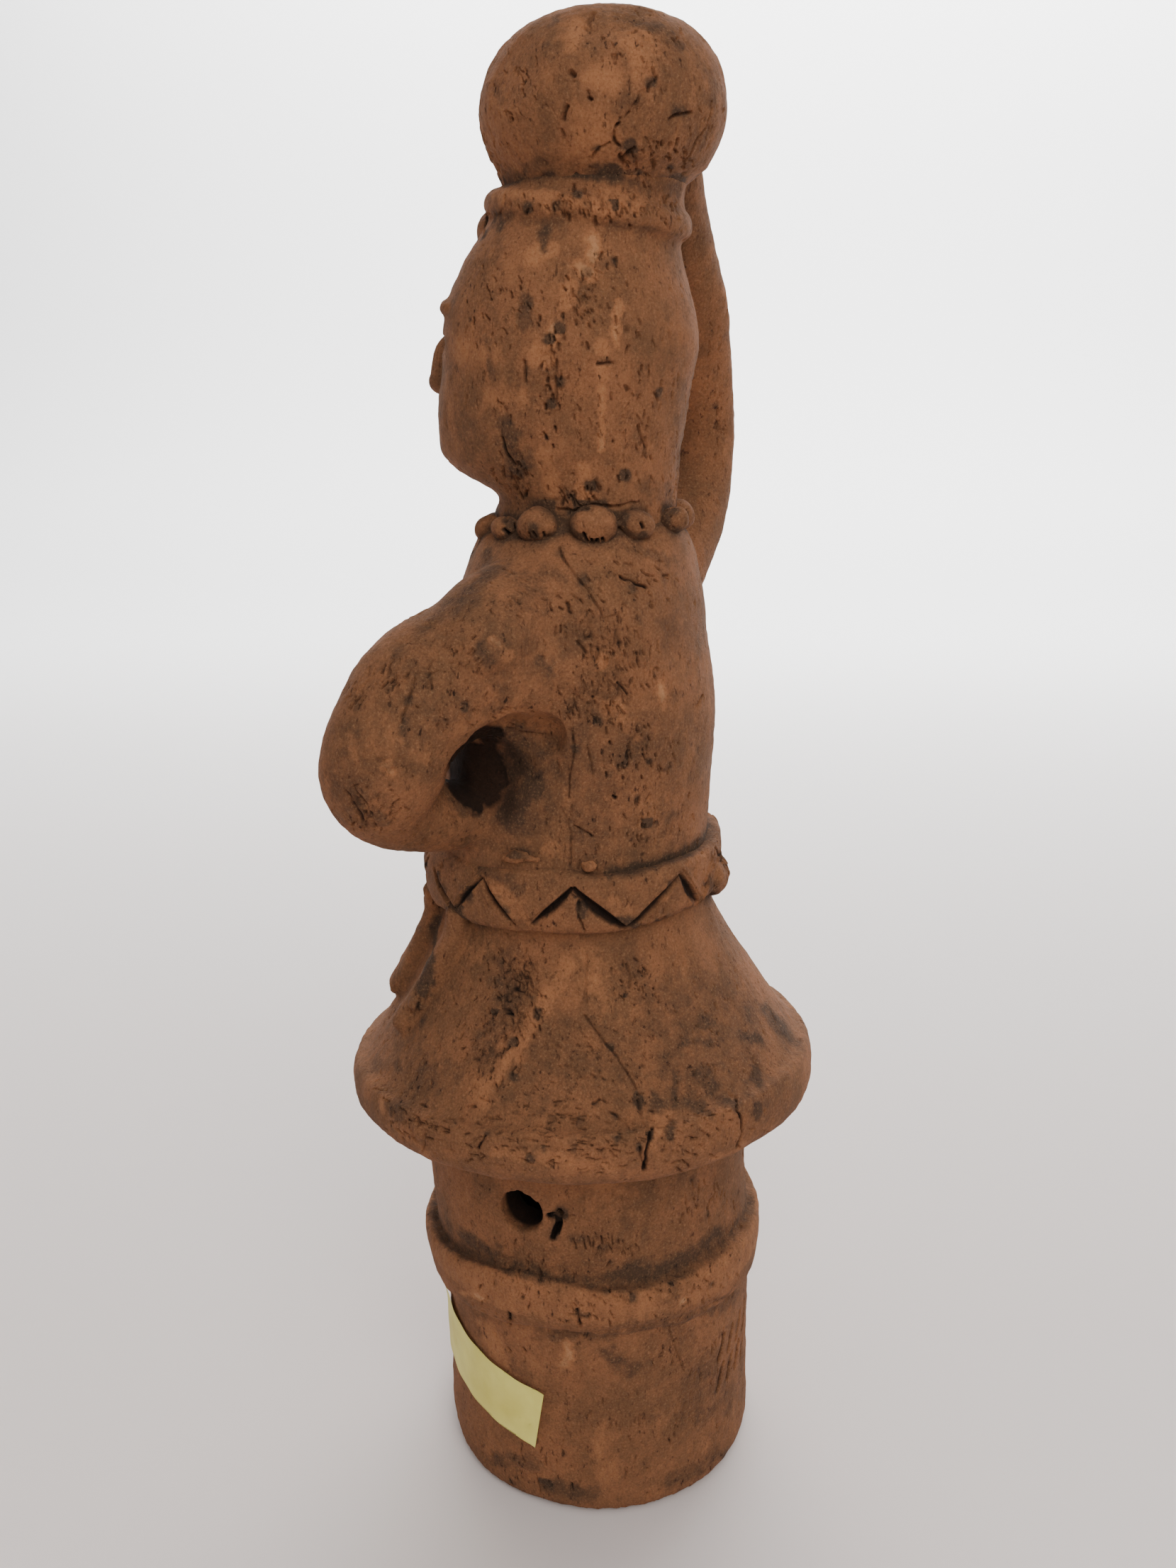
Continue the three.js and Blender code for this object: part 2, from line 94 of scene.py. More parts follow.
def lean(height):
    """How far the figure's axis is out of plumb, to the back, at a height."""
    return float(np.interp(height, axis_heights, axis_leans))


def smooth_run(points, count):
    """A smooth run of `count` points through the given ones."""
    points = np.array(points, float)
    ends = np.vstack([2 * points[0] - points[1], points, 2 * points[-1] - points[-2]])
    place = np.linspace(0, len(points) - 1, count)
    first = np.minimum(place.astype(int), len(points) - 2)
    t = (place - first)[:, None]
    a, b, c, d = (ends[first + k] for k in range(4))
    return 0.5 * (2 * b + (c - a) * t + (2 * a - 5 * b + 4 * c - d) * t**2 + (3 * b - a - 3 * c + d) * t**3)


def spun(clay, outline, steps=128):
    """Adds the ring that a closed outline of (radius, height) makes round the axis."""
    corners = [clay.verts.new((radius, 0, height)) for radius, height in outline]
    edges = [clay.edges.new(pair) for pair in zip(corners, corners[1:] + corners[:1])]
    before = set(clay.verts) - set(corners)
    bmesh.ops.spin(
        clay,
        geom=corners + edges,
        cent=(0, 0, 0),
        axis=(0, 0, 1),
        angle=math.tau,
        steps=steps,
        use_merge=True,
        use_duplicate=False,
    )
    return [vert for vert in clay.verts if vert not in before]


def leaned(verts):
    for vert in verts:
        vert.co.y += lean(vert.co.z)


def lump(clay, sizes, place, turn=(0, 0, 0), detail=4):
    """Adds a lump of clay with three half sizes, and returns its vertices."""
    made = bmesh.ops.create_icosphere(clay, subdivisions=detail, radius=1)["verts"]
    tilt = Matrix.Rotation(turn[2], 4, "Z") @ Matrix.Rotation(turn[1], 4, "Y")
    tilt = Matrix.Translation(place) @ (tilt @ Matrix.Rotation(turn[0], 4, "X"))
    bmesh.ops.transform(clay, matrix=tilt @ Matrix.Diagonal((*sizes, 1)), verts=made)
    return made


def at_angle(angle, radius, height):
    """A point at an angle round the leaning axis, from the figure's left towards its back."""
    turn = math.radians(angle)
    return Vector((radius * math.cos(turn), radius * math.sin(turn) + lean(height), height))


def as_object(name, clay):
    bmesh.ops.recalc_face_normals(clay, faces=clay.faces)
    mesh = bpy.data.meshes.new(name)
    clay.to_mesh(mesh)
    clay.free()
    piece = bpy.data.objects.new(name, mesh)
    bpy.context.scene.collection.objects.link(piece)
    return piece


def numbers(items, name, kind=np.float32, width=3):
    """One property of all of a mesh's items, as rows of numbers."""
    values = np.empty(len(items) * width, kind)
    items.foreach_get(name, values)
    return values.reshape(-1, width)


def pairs(values):
    """The points of the photograph that a row's numbers give two by two."""
    return list(zip(values[::2], values[1::2]))


def settled(piece):
    """Applies a piece's modifiers."""
    state = bpy.context.evaluated_depsgraph_get()
    shaped = bpy.data.meshes.new_from_object(
        piece.evaluated_get(state), preserve_all_data_layers=True, depsgraph=state
    )
    piece.modifiers.clear()
    old, piece.data = piece.data, shaped
    bpy.data.meshes.remove(old)
    shaped.name = piece.name
    return piece


def cut_away(name, clay, tools):
    """Cuts the tools' shapes out of the clay and returns what is left."""
    piece, cutter = as_object(name, clay), as_object(name + "_cutter", tools)
    cut = piece.modifiers.new("cut", "BOOLEAN")
    cut.operation = "DIFFERENCE"
    cut.object = cutter
    cut.solver = "EXACT"
    cut.use_self = True
    settled(piece)
    left = bmesh.new()
    left.from_mesh(piece.data)
    for spent in (piece, cutter):
        mesh = spent.data
        bpy.data.objects.remove(spent)
        bpy.data.meshes.remove(mesh)
    return left


class Skin:
    """The even skin of one piece, with what is pressed into it, what has stained it, and the shade and
    highlight painted on it.
    """

    def __init__(self, name, clay, step, rounds):
        piece = as_object(name, clay)
        remesh = piece.modifiers.new("skin", "REMESH")
        remesh.mode = "VOXEL"
        remesh.voxel_size = step
        self.piece = settled(piece)
        self.lines, self.tears, self.pits = [], [], []
        self.read()
        self.smooth(rounds)
        self.settle()

    def read(self):
        mesh = self.piece.data
        self.points = numbers(mesh.vertices, "co").astype(float)
        self.edges = numbers(mesh.edges, "vertices", np.int32, 2)
        self.links = np.bincount(self.edges.ravel(), minlength=len(self.points))

    def average(self, values):
        """Each vertex's mean over its neighbours."""
        a, b = self.edges.T
        count = len(self.links)
        if values.ndim == 1:
            total = np.bincount(a, values[b], count) + np.bincount(b, values[a], count)
            return total / self.links
        return np.stack([self.average(values[:, k]) for k in range(values.shape[1])], 1)

    def smooth(self, rounds):
        """Smooths the skin without shrinking it."""
        for _ in range(rounds):
            self.points += 0.55 * (self.average(self.points) - self.points)
            self.points -= 0.57 * (self.average(self.points) - self.points)

    def melt(self, centre, radius, rounds):
        """Thumbs a join smooth inside a ball."""
        away = np.linalg.norm(self.points - np.array(centre), axis=1)
        share = np.clip(1.4 * (1 - away / radius), 0, 1)[:, None]
        for _ in range(rounds):
            self.points += 0.6 * share * (self.average(self.points) - self.points)

    def scoop(self, x, y, radius, lift):
        """Presses a ball into the clay at a place in the photograph."""
        place, _ = self.under(x, y)
        centre = np.array(place - sight_line(x, y) * lift)
        offset = self.points - centre
        away = np.linalg.norm(offset, axis=1)
        inside = (away < radius) & (away > 1e-6)
        self.points[inside] = centre + offset[inside] / away[inside, None] * radius

    def knead(self, x, y, radius, out):
        """Pulls the clay out or pushes it in at a place in the photograph, with its radius in pixels."""
        place, scale = self.under(x, y)
        reach = radius / scale
        index, gap = self.near(place, reach)
        way = self.normals[index[gap < 0.3 * reach]].mean(0)
        way /= np.linalg.norm(way)
        share = (1 - (gap / reach) ** 2) ** 2 * np.clip((self.normals[index] @ way - 0.05) / 0.4, 0, 1)
        self.points[index] += way * (out * share)[:, None]

    def settle(self):
        """Writes the points to the mesh, reads the new normals, and starts afresh on marks."""
        mesh = self.piece.data
        mesh.vertices.foreach_set("co", self.points.astype(np.float32).ravel())
        mesh.update()
        self.normals = numbers(mesh.vertex_normals, "vector").astype(float)
        self.tree = KDTree(len(self.points))
        for index, point in enumerate(self.points):
            self.tree.insert(point, index)
        self.tree.balance()
        self.faces = [tuple(polygon.vertices) for polygon in mesh.polygons]
        self.bounce = BVHTree.FromPolygons([Vector(point) for point in self.points], self.faces)
        self.sink, self.broad, self.soot, self.rub, self.hollow_shade = np.zeros((5, len(self.points)))

    def refine(self):
        """Splits the skin finer where cracks, pits and torn patches are to come."""
        for margin in (0.9, 0.45):
            marked = np.zeros(len(self.points), bool)
            spots = [(place, wide + margin) for line, wide, _, _ in self.lines for place in line[::2]]
            if margin > 0.5:
                spots += [(place, radius) for place, radius, _, _ in self.tears]
                spots += [(place, radius + 0.3) for place, radius, _ in self.pits]
            for place, reach in spots:
                marked[self.near(place, reach)[0]] = True
            fine = bmesh.new()
            fine.from_mesh(self.piece.data)
            chosen = [edge for edge in fine.edges if all(marked[vert.index] for vert in edge.verts)]
            bmesh.ops.subdivide_edges(fine, edges=chosen, cuts=1, use_grid_fill=True)
            fine.to_mesh(self.piece.data)
            fine.free()
            self.read()
            self.settle()

    def under(self, x, y):
        """The point of the skin that shows at a place in the photograph, and pixels per millimetre."""
        place, _, _, distance = self.bounce.ray_cast(eye, sight_line(x, y))
        if place is None:
            return None, 1
        return place, pixels_ahead / distance

    def near(self, place, radius):
        found = self.tree.find_range(place, radius)
        return np.array([index for _, index, _ in found], int), np.array([gap for _, _, gap in found])

    def seen_path(self, dots, stride=2):
        """The line on the skin under a broken line of the photograph, and pixels per millimetre."""
        path, scale = [], 1
        for (ax, ay), (bx, by) in zip(dots, dots[1:]):
            parts = max(2, int(math.hypot(bx - ax, by - ay) / stride))
            for part in range(parts + 1):
                share = part / parts
                place, size = self.under(ax + (bx - ax) * share, ay + (by - ay) * share)
                if place is not None:
                    path.append(place)
                    scale = size
        return path, scale

    def cracks(self, *rows):
        """Notes cracks: a broken line of the photograph, half width, depth and unevenness."""
        for *dots, wide, deep, jitter in rows:
            self.lines.append((self.seen_path(pairs(dots))[0], wide, deep, jitter))

    def tatters(self, *rows):
        """Notes torn patches: a place in the photograph, the radius in its pixels, and the depth."""
        for x, y, radius, deep in rows:
            place, scale = self.under(x, y)
            if place is not None:
                self.tears.append((place, radius / scale, deep, 3))

    def combs(self, *rows):
        """Notes short drag cracks, all much the same way: a box of the photograph, how many, how
        long in its pixels, the turn from upright, and sometimes their half width and depth."""
        for seed, (left, high, right, low, count, length, turn, *size) in enumerate(rows, 1):
            wide, deep = size or (0.1, 0.4)
            draw = np.random.default_rng(seed + left)
            for _ in range(count):
                x = draw.normal((left + right) / 2, (right - left) / 3.2)
                y = draw.normal((high + low) / 2, (low - high) / 3.2)
                long, swing = length * draw.uniform(0.5, 1.5), draw.normal(turn, 0.25)
                end = (x + long * math.sin(swing), y + long * math.cos(swing))
                path, _ = self.seen_path([(x, y), end], 1.5)
                self.lines.append((path, wide * draw.uniform(0.6, 1.5), 1.3 * deep, 0.7))

    def groove(self, path, wide, deep, jitter):
        """Cuts a groove along points on the skin."""
        places = np.array([tuple(place) for place in path])
        if not len(places):
            return
        swing = 1 + jitter * (0.9 * mottle(places, 0.9, 4) + 0.4 * mottle(places, 2.3, 5))
        stray = 0.45 * jitter * np.stack([mottle(places, 1.1, seed) for seed in (6, 7, 8)], 1)
        for place, share in zip(places + stray, np.clip(swing, 0.15, 2)):
            reach = wide * share + 0.14
            index, gap = self.near(place, reach)
            if len(index):
                depth = self.broad[index] + deep * min(share, 1.2) * np.clip(1 - gap / reach, 0, 1) ** 0.6
                self.sink[index] = np.maximum(self.sink[index], depth)

    def paint_marks(self, field, share, *rows):
        """Paints stains, painted shade and painted highlights on the skin: a line of the photograph, the
        radius in its pixels, and the strength.
        """
        for *dots, radius, strength in rows:
            self.paint_mark(field, pairs(dots), radius, share * strength)

    def paint_mark(self, field, dots, radius, strength):
        path, scale = self.seen_path(dots if len(dots) > 1 else [dots[0], dots[0]], 4)
        if not path:
            return
        places = np.array([tuple(place) for place in path])
        reach = radius / scale
        stray = 0.45 * reach * np.stack([mottle(places, 1.1 * reach, seed) for seed in (6, 7, 8)], 1)
        for place, share in zip(places + stray, 1 + 0.5 * mottle(places, 1.7 * reach, 9)):
            index, gap = self.near(place, reach * share * 1.7)
            if len(index):
                edge = 1.5 - gap / (reach * share) + 0.45 * mottle(self.points[index], 0.6 * reach, 11)
                field[index] = np.maximum(field[index], strength * np.clip(edge, 0, 1))

    def swell(self, x, y, radius, proud):
        """Raises a crumb of clay at a place in the photograph, with its radius in pixels."""
        place, scale = self.under(x, y)
        if place is None:
            return
        reach = 1.3 * radius / scale
        index, gap = self.near(place, reach)
        self.sink[index] -= proud * np.clip(1.5 - 1.5 * gap / reach, 0, 1)

    def finish(self):
        """Presses the marks in, and puts the piece in the row's place and size."""
        for line in self.lines:
            self.groove(*line)
        self.points -= self.normals * self.sink[:, None]
        mesh = self.piece.data
        mesh.vertices.foreach_set("co", self.points.astype(np.float32).ravel())
        mesh.transform(into_row)
        mesh.polygons.foreach_set("use_smooth", [True] * len(mesh.polygons))
        mesh.update()
        skins.append(self)


def lattice(cell, seed):
    """A settled random number from -1 to 1 for each whole-number cell."""
    number = cell[:, 0] * 73856093 ^ cell[:, 1] * 19349663 ^ cell[:, 2] * 83492791 ^ (seed * 2654435761)
    number = (number ^ (number >> 15)) * 2246822519 & 0xFFFFFFFF
    number = (number ^ (number >> 13)) * 3266489917 & 0xFFFFFFFF
    return ((number >> 8) & 0xFFFF) / 32767.5 - 1


def mottle(points, size, seed):
    """Smooth noise from -1 to 1 with lumps of a size in millimetres, or of three sizes."""
    place = points / np.array(size, float) + 37.7 * seed
    cell = np.floor(place).astype(np.int64)
    part = place - cell
    part = part * part * (3 - 2 * part)
    total = np.zeros(len(points))
    for corner in np.ndindex(2, 2, 2):
        offset = np.array(corner)
        weight = np.prod(np.where(offset == 1, part, 1 - part), axis=1)
        total += weight * lattice(cell + offset, seed)
    return total


skins = []


def fire(skin, seed, cracks=20, pits=200, torn=4):
    """What hands, drying and firing leave all over: an uneven wall, grit, pits, short cracks and
    places where the damp clay dragged and tore. The side that the photograph shows has its own."""
    draw = np.random.default_rng(seed)
    hidden = np.flatnonzero(skin.normals @ np.array(ahead) > -0.2)
    for _ in range(torn):
        middle = Vector(skin.points[draw.choice(hidden)])
        skin.tears.append((middle, draw.uniform(3, 7), draw.uniform(0.3, 0.5), seed + 5))
    for _ in range(cracks):
        path = wander(skin, int(draw.choice(hidden)), draw, draw.uniform(3, 12))
        skin.lines.append((path, draw.uniform(0.12, 0.3), draw.uniform(0.4, 0.8), 0.7))
    for _ in range(pits):
        place = Vector(skin.points[draw.integers(len(skin.points))])
        skin.pits.append((place, draw.uniform(0.25, 0.6), draw.uniform(0.2, 0.5)))
    for middle, radius, _, _ in skin.tears[-torn:] if torn else ():
        index, _ = skin.near(middle, radius)
        for start in draw.choice(index, 16):
            place, normal = Vector(skin.points[start]), Vector(skin.normals[start])
            along = (Vector((0, 0, 1)) - normal * normal.z + Vector(draw.normal(0, 0.25, 3))).normalized()
            path = [place + along * 0.2 * step for step in range(int(draw.integers(3, 9)))]
            skin.lines.append((path, draw.uniform(0.07, 0.15), 0.4, 0.6))
    skin.refine()
    points = skin.points
    skin.broad = 0.34 * mottle(points, 19, seed) + 0.16 * mottle(points, 8, seed + 1)
    skin.broad += 0.1 * mottle(points, 3.4, seed + 2) + 0.08 * mottle(points, 1.5, seed + 3)
    skin.sink += skin.broad + 0.07 * mottle(points, (0.8, 0.8, 1.2), seed + 4)
    for tear in skin.tears:
        crumble(skin, *tear)
    for place, wide, deep in skin.pits:
        index, gap = skin.near(place, wide + 0.15)
        if len(index):
            hollow = skin.sink[index].mean() + deep * np.clip(1.2 - gap / wide, 0, 1)
            skin.sink[index] = np.maximum(skin.sink[index], hollow)


def wander(skin, start, draw, length):
    """A path that wanders over the skin from one of its vertices."""
    place, normal = Vector(skin.points[start]), Vector(skin.normals[start])
    heading = normal.cross(Vector(draw.normal(0, 1, 3))).normalized()
    path = []
    for _ in range(int(length / 0.3)):
        path.append(place.copy())
        heading = (heading + Vector(draw.normal(0, 0.28, 3))).normalized()
        heading = (heading - normal * heading.dot(normal)).normalized()
        moved = place + heading * 0.3
        _, index, _ = skin.tree.find(moved)
        normal = Vector(skin.normals[index])
        place = moved - normal * (moved - Vector(skin.points[index])).dot(normal)
    return path


def crumble(skin, place, radius, deep, seed):
    """Dragged, crumbly clay round a point: crumbs with deep crevices between them."""
    index, gap = skin.near(place, radius * 1.3)
    if not len(index):
        return
    points = skin.points[index]
    edge = np.clip(1.3 - gap / radius + 0.5 * mottle(points, 3.1, seed), 0, 1)
    coarse = np.clip(1 - 3.6 * np.abs(mottle(points, (2.1, 2.1, 2.9), seed + 1)), 0, 1)
    fine = np.clip(1 - 2.8 * np.abs(mottle(points, (1.1, 1.1, 1.6), seed + 2)), 0, 1)
    open_here = np.clip(0.5 + 1.5 * mottle(points, 4.3, seed + 3), 0, 1)
    crumbs = 0.8 * coarse * open_here + 0.85 * fine - 0.4 * mottle(points, 1.5, seed + 4)
    skin.sink[index] += deep * edge * crumbs


pedestal_radius = 31.5
pedestal_inside = 24.5
wall_top = hem_height + 4

clay = bmesh.new()
wall = [(25.6, 0), (30.6, 0), (31.5, 0.5), (31.9, 1.5), (31.95, 3.5)]
wall += [(31.6, 12), (31.4, 24), (31.5, 33.8), (31.75, 42), (31.95, 50), (32, 57.4), (32, 70)]
wall += [(32, wall_top)]
wall += [(pedestal_inside, wall_top), (24.3, 57.4), (pedestal_inside, 33.8), (24.6, 14), (24.9, 1)]
leaned(spun(clay, wall))

tools = bmesh.new()
hole_height = 67.3
hole_radius = 4.15
middle = Matrix.Translation((0, lean(hole_height) - 0.4, hole_height))
bmesh.ops.create_cone(
    tools,
    cap_ends=True,
    segments=40,
    radius1=hole_radius,
    radius2=hole_radius,
    depth=3 * pedestal_radius,
    matrix=middle @ Matrix.Rotation(math.pi / 2, 4, "Y"),
)
for angle, height, sizes in ((13.2, 68.4, (8, 0.9, 0.9)), (14.2, 66.6, (8, 0.7, 1.5))):
    lump(tools, sizes, at_angle(angle, 29.5, height), (0, 0, math.radians(angle)), detail=2)
clay = cut_away("pedestal", clay, tools)

rope = [(31.3, 38.2), (32.5, 38.4), (33.4, 39.6), (34.0, 42), (34.4, 45), (34.7, 48), (34.7, 50)]
rope = smooth_run(rope + [(34.2, 51.4), (33.3, 51.9), (32.5, 51), (31.8, 49.4)], 34)
ring = spun(clay, [(28, 49.5), (28, 39.5), *[tuple(point) for point in rope]])
crest_angles = (-90, -68, -45, -25, -12, 0, 12, 25, 46, 60, 73, 95, 112, 140, 180, 225, 270)
crest_rises = (-4.1, -3.4, -1.6, 0.4, 2.6, 3.6, 3.1, 2.0, 1.3, 1.4, 0.9, 0.3, 0.1, -0.6, -1.6, -3, -4.1)
for vert in ring:
    turn = math.atan2(vert.co.y, vert.co.x)
    share = min(max((vert.co.z - 38.6) / 12, 0), 1)
    foot_rise = 2.8 * math.cos(turn - 0.1) + 1.5 * math.cos(2 * turn) + 2.8 * math.sin(turn)
    crest_rise = np.interp((math.degrees(turn) + 90) % 360 - 90, crest_angles, crest_rises)
    wave = 0.3 * math.sin(5 * turn + 1) + 0.2 * math.sin(11 * turn) + 0.12 * math.sin(23 * turn + 2)
    vert.co.z += (1 - share) * foot_rise + share * float(crest_rise) + wave
    vert.co.y = vert.co.y * (1 + 0.008 * math.sin(turn)) - 0.5
leaned(ring)

pedestal = Skin("pedestal", clay, 0.6, 4)

# rows of shallow strokes at the back, pressed in with the end of a stick
for row in range(2):
    for column in range(4):
        start = (72 + 6.5 * column - 1.8, 22.6 + 7 * row - 2.7)
        end = (72 + 6.5 * column + 1.6, 22.6 + 7 * row + 2.5)
        stroke = []
        for k in range(13):
            angle, height = (a + (b - a) * k / 12 for a, b in zip(start, end))
            stroke.append(at_angle(angle, 31.6, height))
        pedestal.lines.append((stroke, 0.5, 1.1, 0.2))

pedestal.cracks(
    (774, 1716, 781, 1714, 789, 1717, 0.42, 2.4, 0.2),
    (787, 1716, 789, 1727, 785, 1737, 0.62, 2.8, 0.15), (784, 1736, 779, 1748, 0.42, 2.4, 0.2),
)
pedestal.combs(
    (820, 1738, 900, 1766, 26, 9, 0.1), (960, 1640, 1046, 1720, 20, 10, 0.1),
    (700, 1740, 770, 1800, 12, 8, 0.1), (800, 1820, 900, 1860, 24, 6, 0.5),
    (680, 1800, 760, 1850, 16, 6, -0.3), (930, 1800, 1040, 1850, 18, 6, 0.4),
    (940, 1860, 1040, 1960, 20, 9, -0.2), (720, 2030, 800, 2100, 22, 9, 0.1),
    (800, 1940, 960, 2080, 34, 8, 0.05, 0.08, 0.3),
)
pedestal.cracks(
    (782, 1880, 830, 1881, 880, 1877, 930, 1868, 980, 1852, 1030, 1826, 0.8, 0.3, 0.5),
    (814, 1848, 816, 1860, 818, 1872, 0.22, 0.8, 0.5), (802, 1853, 824, 1858, 0.17, 0.6, 0.5),
    (1010, 1684, 1004, 1693, 998, 1702, 0.19, 0.7, 0.5), (966, 1684, 970, 1712, 0.14, 0.4, 0.5),
    (944, 1876, 953, 1904, 964, 1932, 0.11, 0.35, 0.2), (718, 1852, 719, 1868, 0.33, 0.8, 0.5),
    (716, 1902, 720, 1906, 0.33, 0.6, 0.5), (738, 1902, 741, 1907, 0.22, 0.6, 0.5),
    (808, 1750, 812, 1762, 0.17, 0.5, 0.5), (878, 1750, 884, 1762, 0.17, 0.4, 0.5),
    (756, 2080, 762, 2106, 0.17, 0.4, 0.5), (954, 2002, 950, 2026, 0.19, 0.5, 0.5),
    (762, 1790, 762, 1808, 0.14, 0.4, 0.5),
)
pedestal.tatters(
    (880, 1752, 30, 0.18), (712, 1762, 16, 0.4), (960, 1990, 26, 0.25), (1060, 1850, 24, 0.2),
)
fire(pedestal, 11, cracks=26, pits=260, torn=4)

# soot and painted shade darken the channel above the rope and the wall over it
channel = [630, 1742, 652, 1762, 702, 1782, 762, 1798, 814, 1806, 870, 1806, 910, 1800, 962, 1784]
channel += [1006, 1760, 1042, 1722, 1056, 1690]
pedestal.paint_marks(pedestal.soot, 1, (*channel, 9, 0.6), (*channel, 24, 0.36))
# soot stains; the strips along the foot of the rope roll are painted shadow under it
pedestal.paint_marks(
    pedestal.soot, 1,
    (860, 1800, 930, 1790, 970, 1776, 1010, 1744, 12, 0.8), (655, 1745, 700, 1772, 12, 0.7),
    (782, 1884, 870, 1883, 960, 1866, 1040, 1828, 10, 0.5), (706, 1756, 712, 1772, 12, 0.5),
    (862, 1912, 890, 1934, 13, 0.55), (826, 1878, 940, 1862, 7, 0.4), (960, 1855, 1030, 1826, 9, 0.45),
    (985, 1940, 1000, 1985, 22, 0.4), (706, 2060, 750, 2066, 16, 0.5),
    (770, 2100, 840, 2110, 12, 0.55), (945, 2090, 1020, 2050, 14, 0.5),
)
pedestal.paint_marks(
    pedestal.rub, 1,
    (802, 1898, 799, 1924, 8, 0.9), (962, 1834, 7, 1.0), (650, 1822, 680, 1832, 4, 0.8),
    (700, 1910, 690, 1880, 18, 0.5), (850, 2010, 855, 2080, 14, 0.3),
)
# the lip is rubbed clean where hands hold it, and its crest is painted lighter as a painted highlight
x, y, z = pedestal.points.T
reach = np.hypot(x, y - np.interp(z, axis_heights, axis_leans))
lip = np.clip((reach - 33.4) / 0.8, 0, 1)
pedestal.soot *= 1 - 0.85 * lip
pedestal.rub += 0.3 * lip * (z > 46)
# painted shade: two broad soft patches, one low down on the wall and one just under the hem
pedestal.paint_marks(
    pedestal.soot, 1,
    (990, 1920, 1014, 1990, 30, 0.4), (900, 1700, 1000, 1750, 40, 0.2),
)
# painted shade: the bore of the side hole is painted darker the deeper it goes into the wall
bore = np.hypot(y - lean(hole_height), z - hole_height)
depth = pedestal_radius - np.hypot(x, y)
pedestal.hollow_shade = np.where((bore < 5.4) & (depth > 0.9), np.clip(depth / 2.6, 0, 1), 0)
pedestal.rub += 0.12
pedestal.finish()

# Skirt
# A flared cone of clay that is slipped over the pedestal and thumbed into a thick rolled hem.

def wrapped(clay, rings, sides=96, looped=False):
    """Adds a skin over rings, each a centre with the arrows to its side and to its back."""
    if looped:
        rings = rings + rings[:1]
    sheet = bmesh.ops.create_grid(clay, x_segments=sides, y_segments=len(rings) - 1, size=0.5)["verts"]
    for vert in sheet:
        centre, side, back = rings[round((vert.co.y + 0.5) * (len(rings) - 1))]
        turn = (vert.co.x + 0.5) * math.tau
        vert.co = Vector(centre) + Vector(side) * math.cos(turn) + Vector(back) * math.sin(turn)
    bmesh.ops.remove_doubles(clay, verts=sheet, dist=1e-4)


def oval_rings(stations, count):
    """Rings from (height, half breadth, half depth, how far forward, tilt, rise) stations."""
    rings = []
    for height, breadth, depth, forward, tilt, rise in smooth_run(stations, count):
        centre = (0, lean(height) - forward, height)
        rings.append((centre, (breadth, 0, rise * breadth), (0, depth, tilt * depth)))
    return rings


hem_radius, hem_lip, waist_radius = 45.5, 7.1, 25.5
skirt_tilt, skirt_rise = 0.085, 0.08


def skirt_radius(height):
    share = min(max((height - hem_height) / skirt_long, 0), 1)
    return waist_radius + (hem_radius - waist_radius) * (1 - share) ** 1.25


stations = [(hem_height - 0.4, 29, 29, 0, skirt_tilt, skirt_rise)]
for out, up in ((-0.9, -0.55), (-0.35, -0.98), (0.35, -0.98), (0.83, -0.66), (0.99, -0.15), (0.87, 0.5)):
    radius = hem_radius - hem_lip + out * hem_lip
    tilt = skirt_tilt - (0.03 if up < -0.5 else 0)
    stations.append((hem_height + up * hem_lip, radius, radius, 0, tilt, skirt_rise))
for share in (0.15, 0.32, 0.49, 0.66, 0.83, 1.0):
    height = hem_height + skirt_long * share
    radius = skirt_radius(height)
    stations.append((height, radius, radius, 0, skirt_tilt * (1 - 0.4 * share), skirt_rise * (1 - share)))
stations.append((waist_height + 4.5, 25.4, 25.2, 0, 0.05, 0))
rings = oval_rings(stations, 60)
inside = [(waist_height + 4.5, 19), (112, 19.8), (100, 22), (89, 24.4), (86, 27)]
rings += oval_rings([(height, radius, radius, 0, 0, 0) for height, radius in inside], 12)
clay = bmesh.new()
wrapped(clay, rings, looped=True)


def limb(clay, stations, flat, count=40, sides=32):
    """Adds a limb along (x, y, z, half width, half thickness) stations. Flat is the way across its
    thickness."""
    run = smooth_run(stations, count)
    rings = []
    for number, (x, y, z, wide, thick) in enumerate(run):
        before, after = run[max(number - 1, 0)][:3], run[min(number + 1, count - 1)][:3]
        along = Vector(after - before).normalized()
        across = (Vector(flat) - along * along.dot(Vector(flat))).normalized()
        rings.append(((x, y, z), across.cross(along) * wide, across * thick))
    first, last = rings[0], rings[-1]
    tip = Vector(run[-1][:3]) + (Vector(run[-1][:3]) - Vector(run[-2][:3])).normalized() * 0.7 * run[-1][3]
    middle = (Vector(last[0]) + tip * 1.6) / 2.6
    point = ((0, 0, 0), (0, 0, 0))
    rings = [(first[0], *point), *rings, (middle, last[1] * 0.72, last[2] * 0.72), (tip, *point)]
    wrapped(clay, rings, sides)


# the sash's ends hang on the skirt in front, rolled out thin and pressed on
for from_angle, to_angle, length, half in ((-28, -43, 23, 2.3), (-58, -65, 22, 2.4), (-80, -84, 27, 2.6)):
    stations = []
    for share in (0, 0.25, 0.5, 0.75, 1):
        angle = from_angle + (to_angle - from_angle) * share
        height = belt_height - 3 - share * length
        radius = skirt_radius(height) + 1.0
        place = at_angle(angle, radius, height)
        rise = 0.075 * radius * math.sin(math.radians(angle))
        stations.append((place.x, place.y, place.z + rise, half + 0.4 * share, half + 0.3 * share))
    outward = at_angle((from_angle + to_angle) / 2, 1, 0)
    limb(clay, stations, outward, count=24, sides=20)

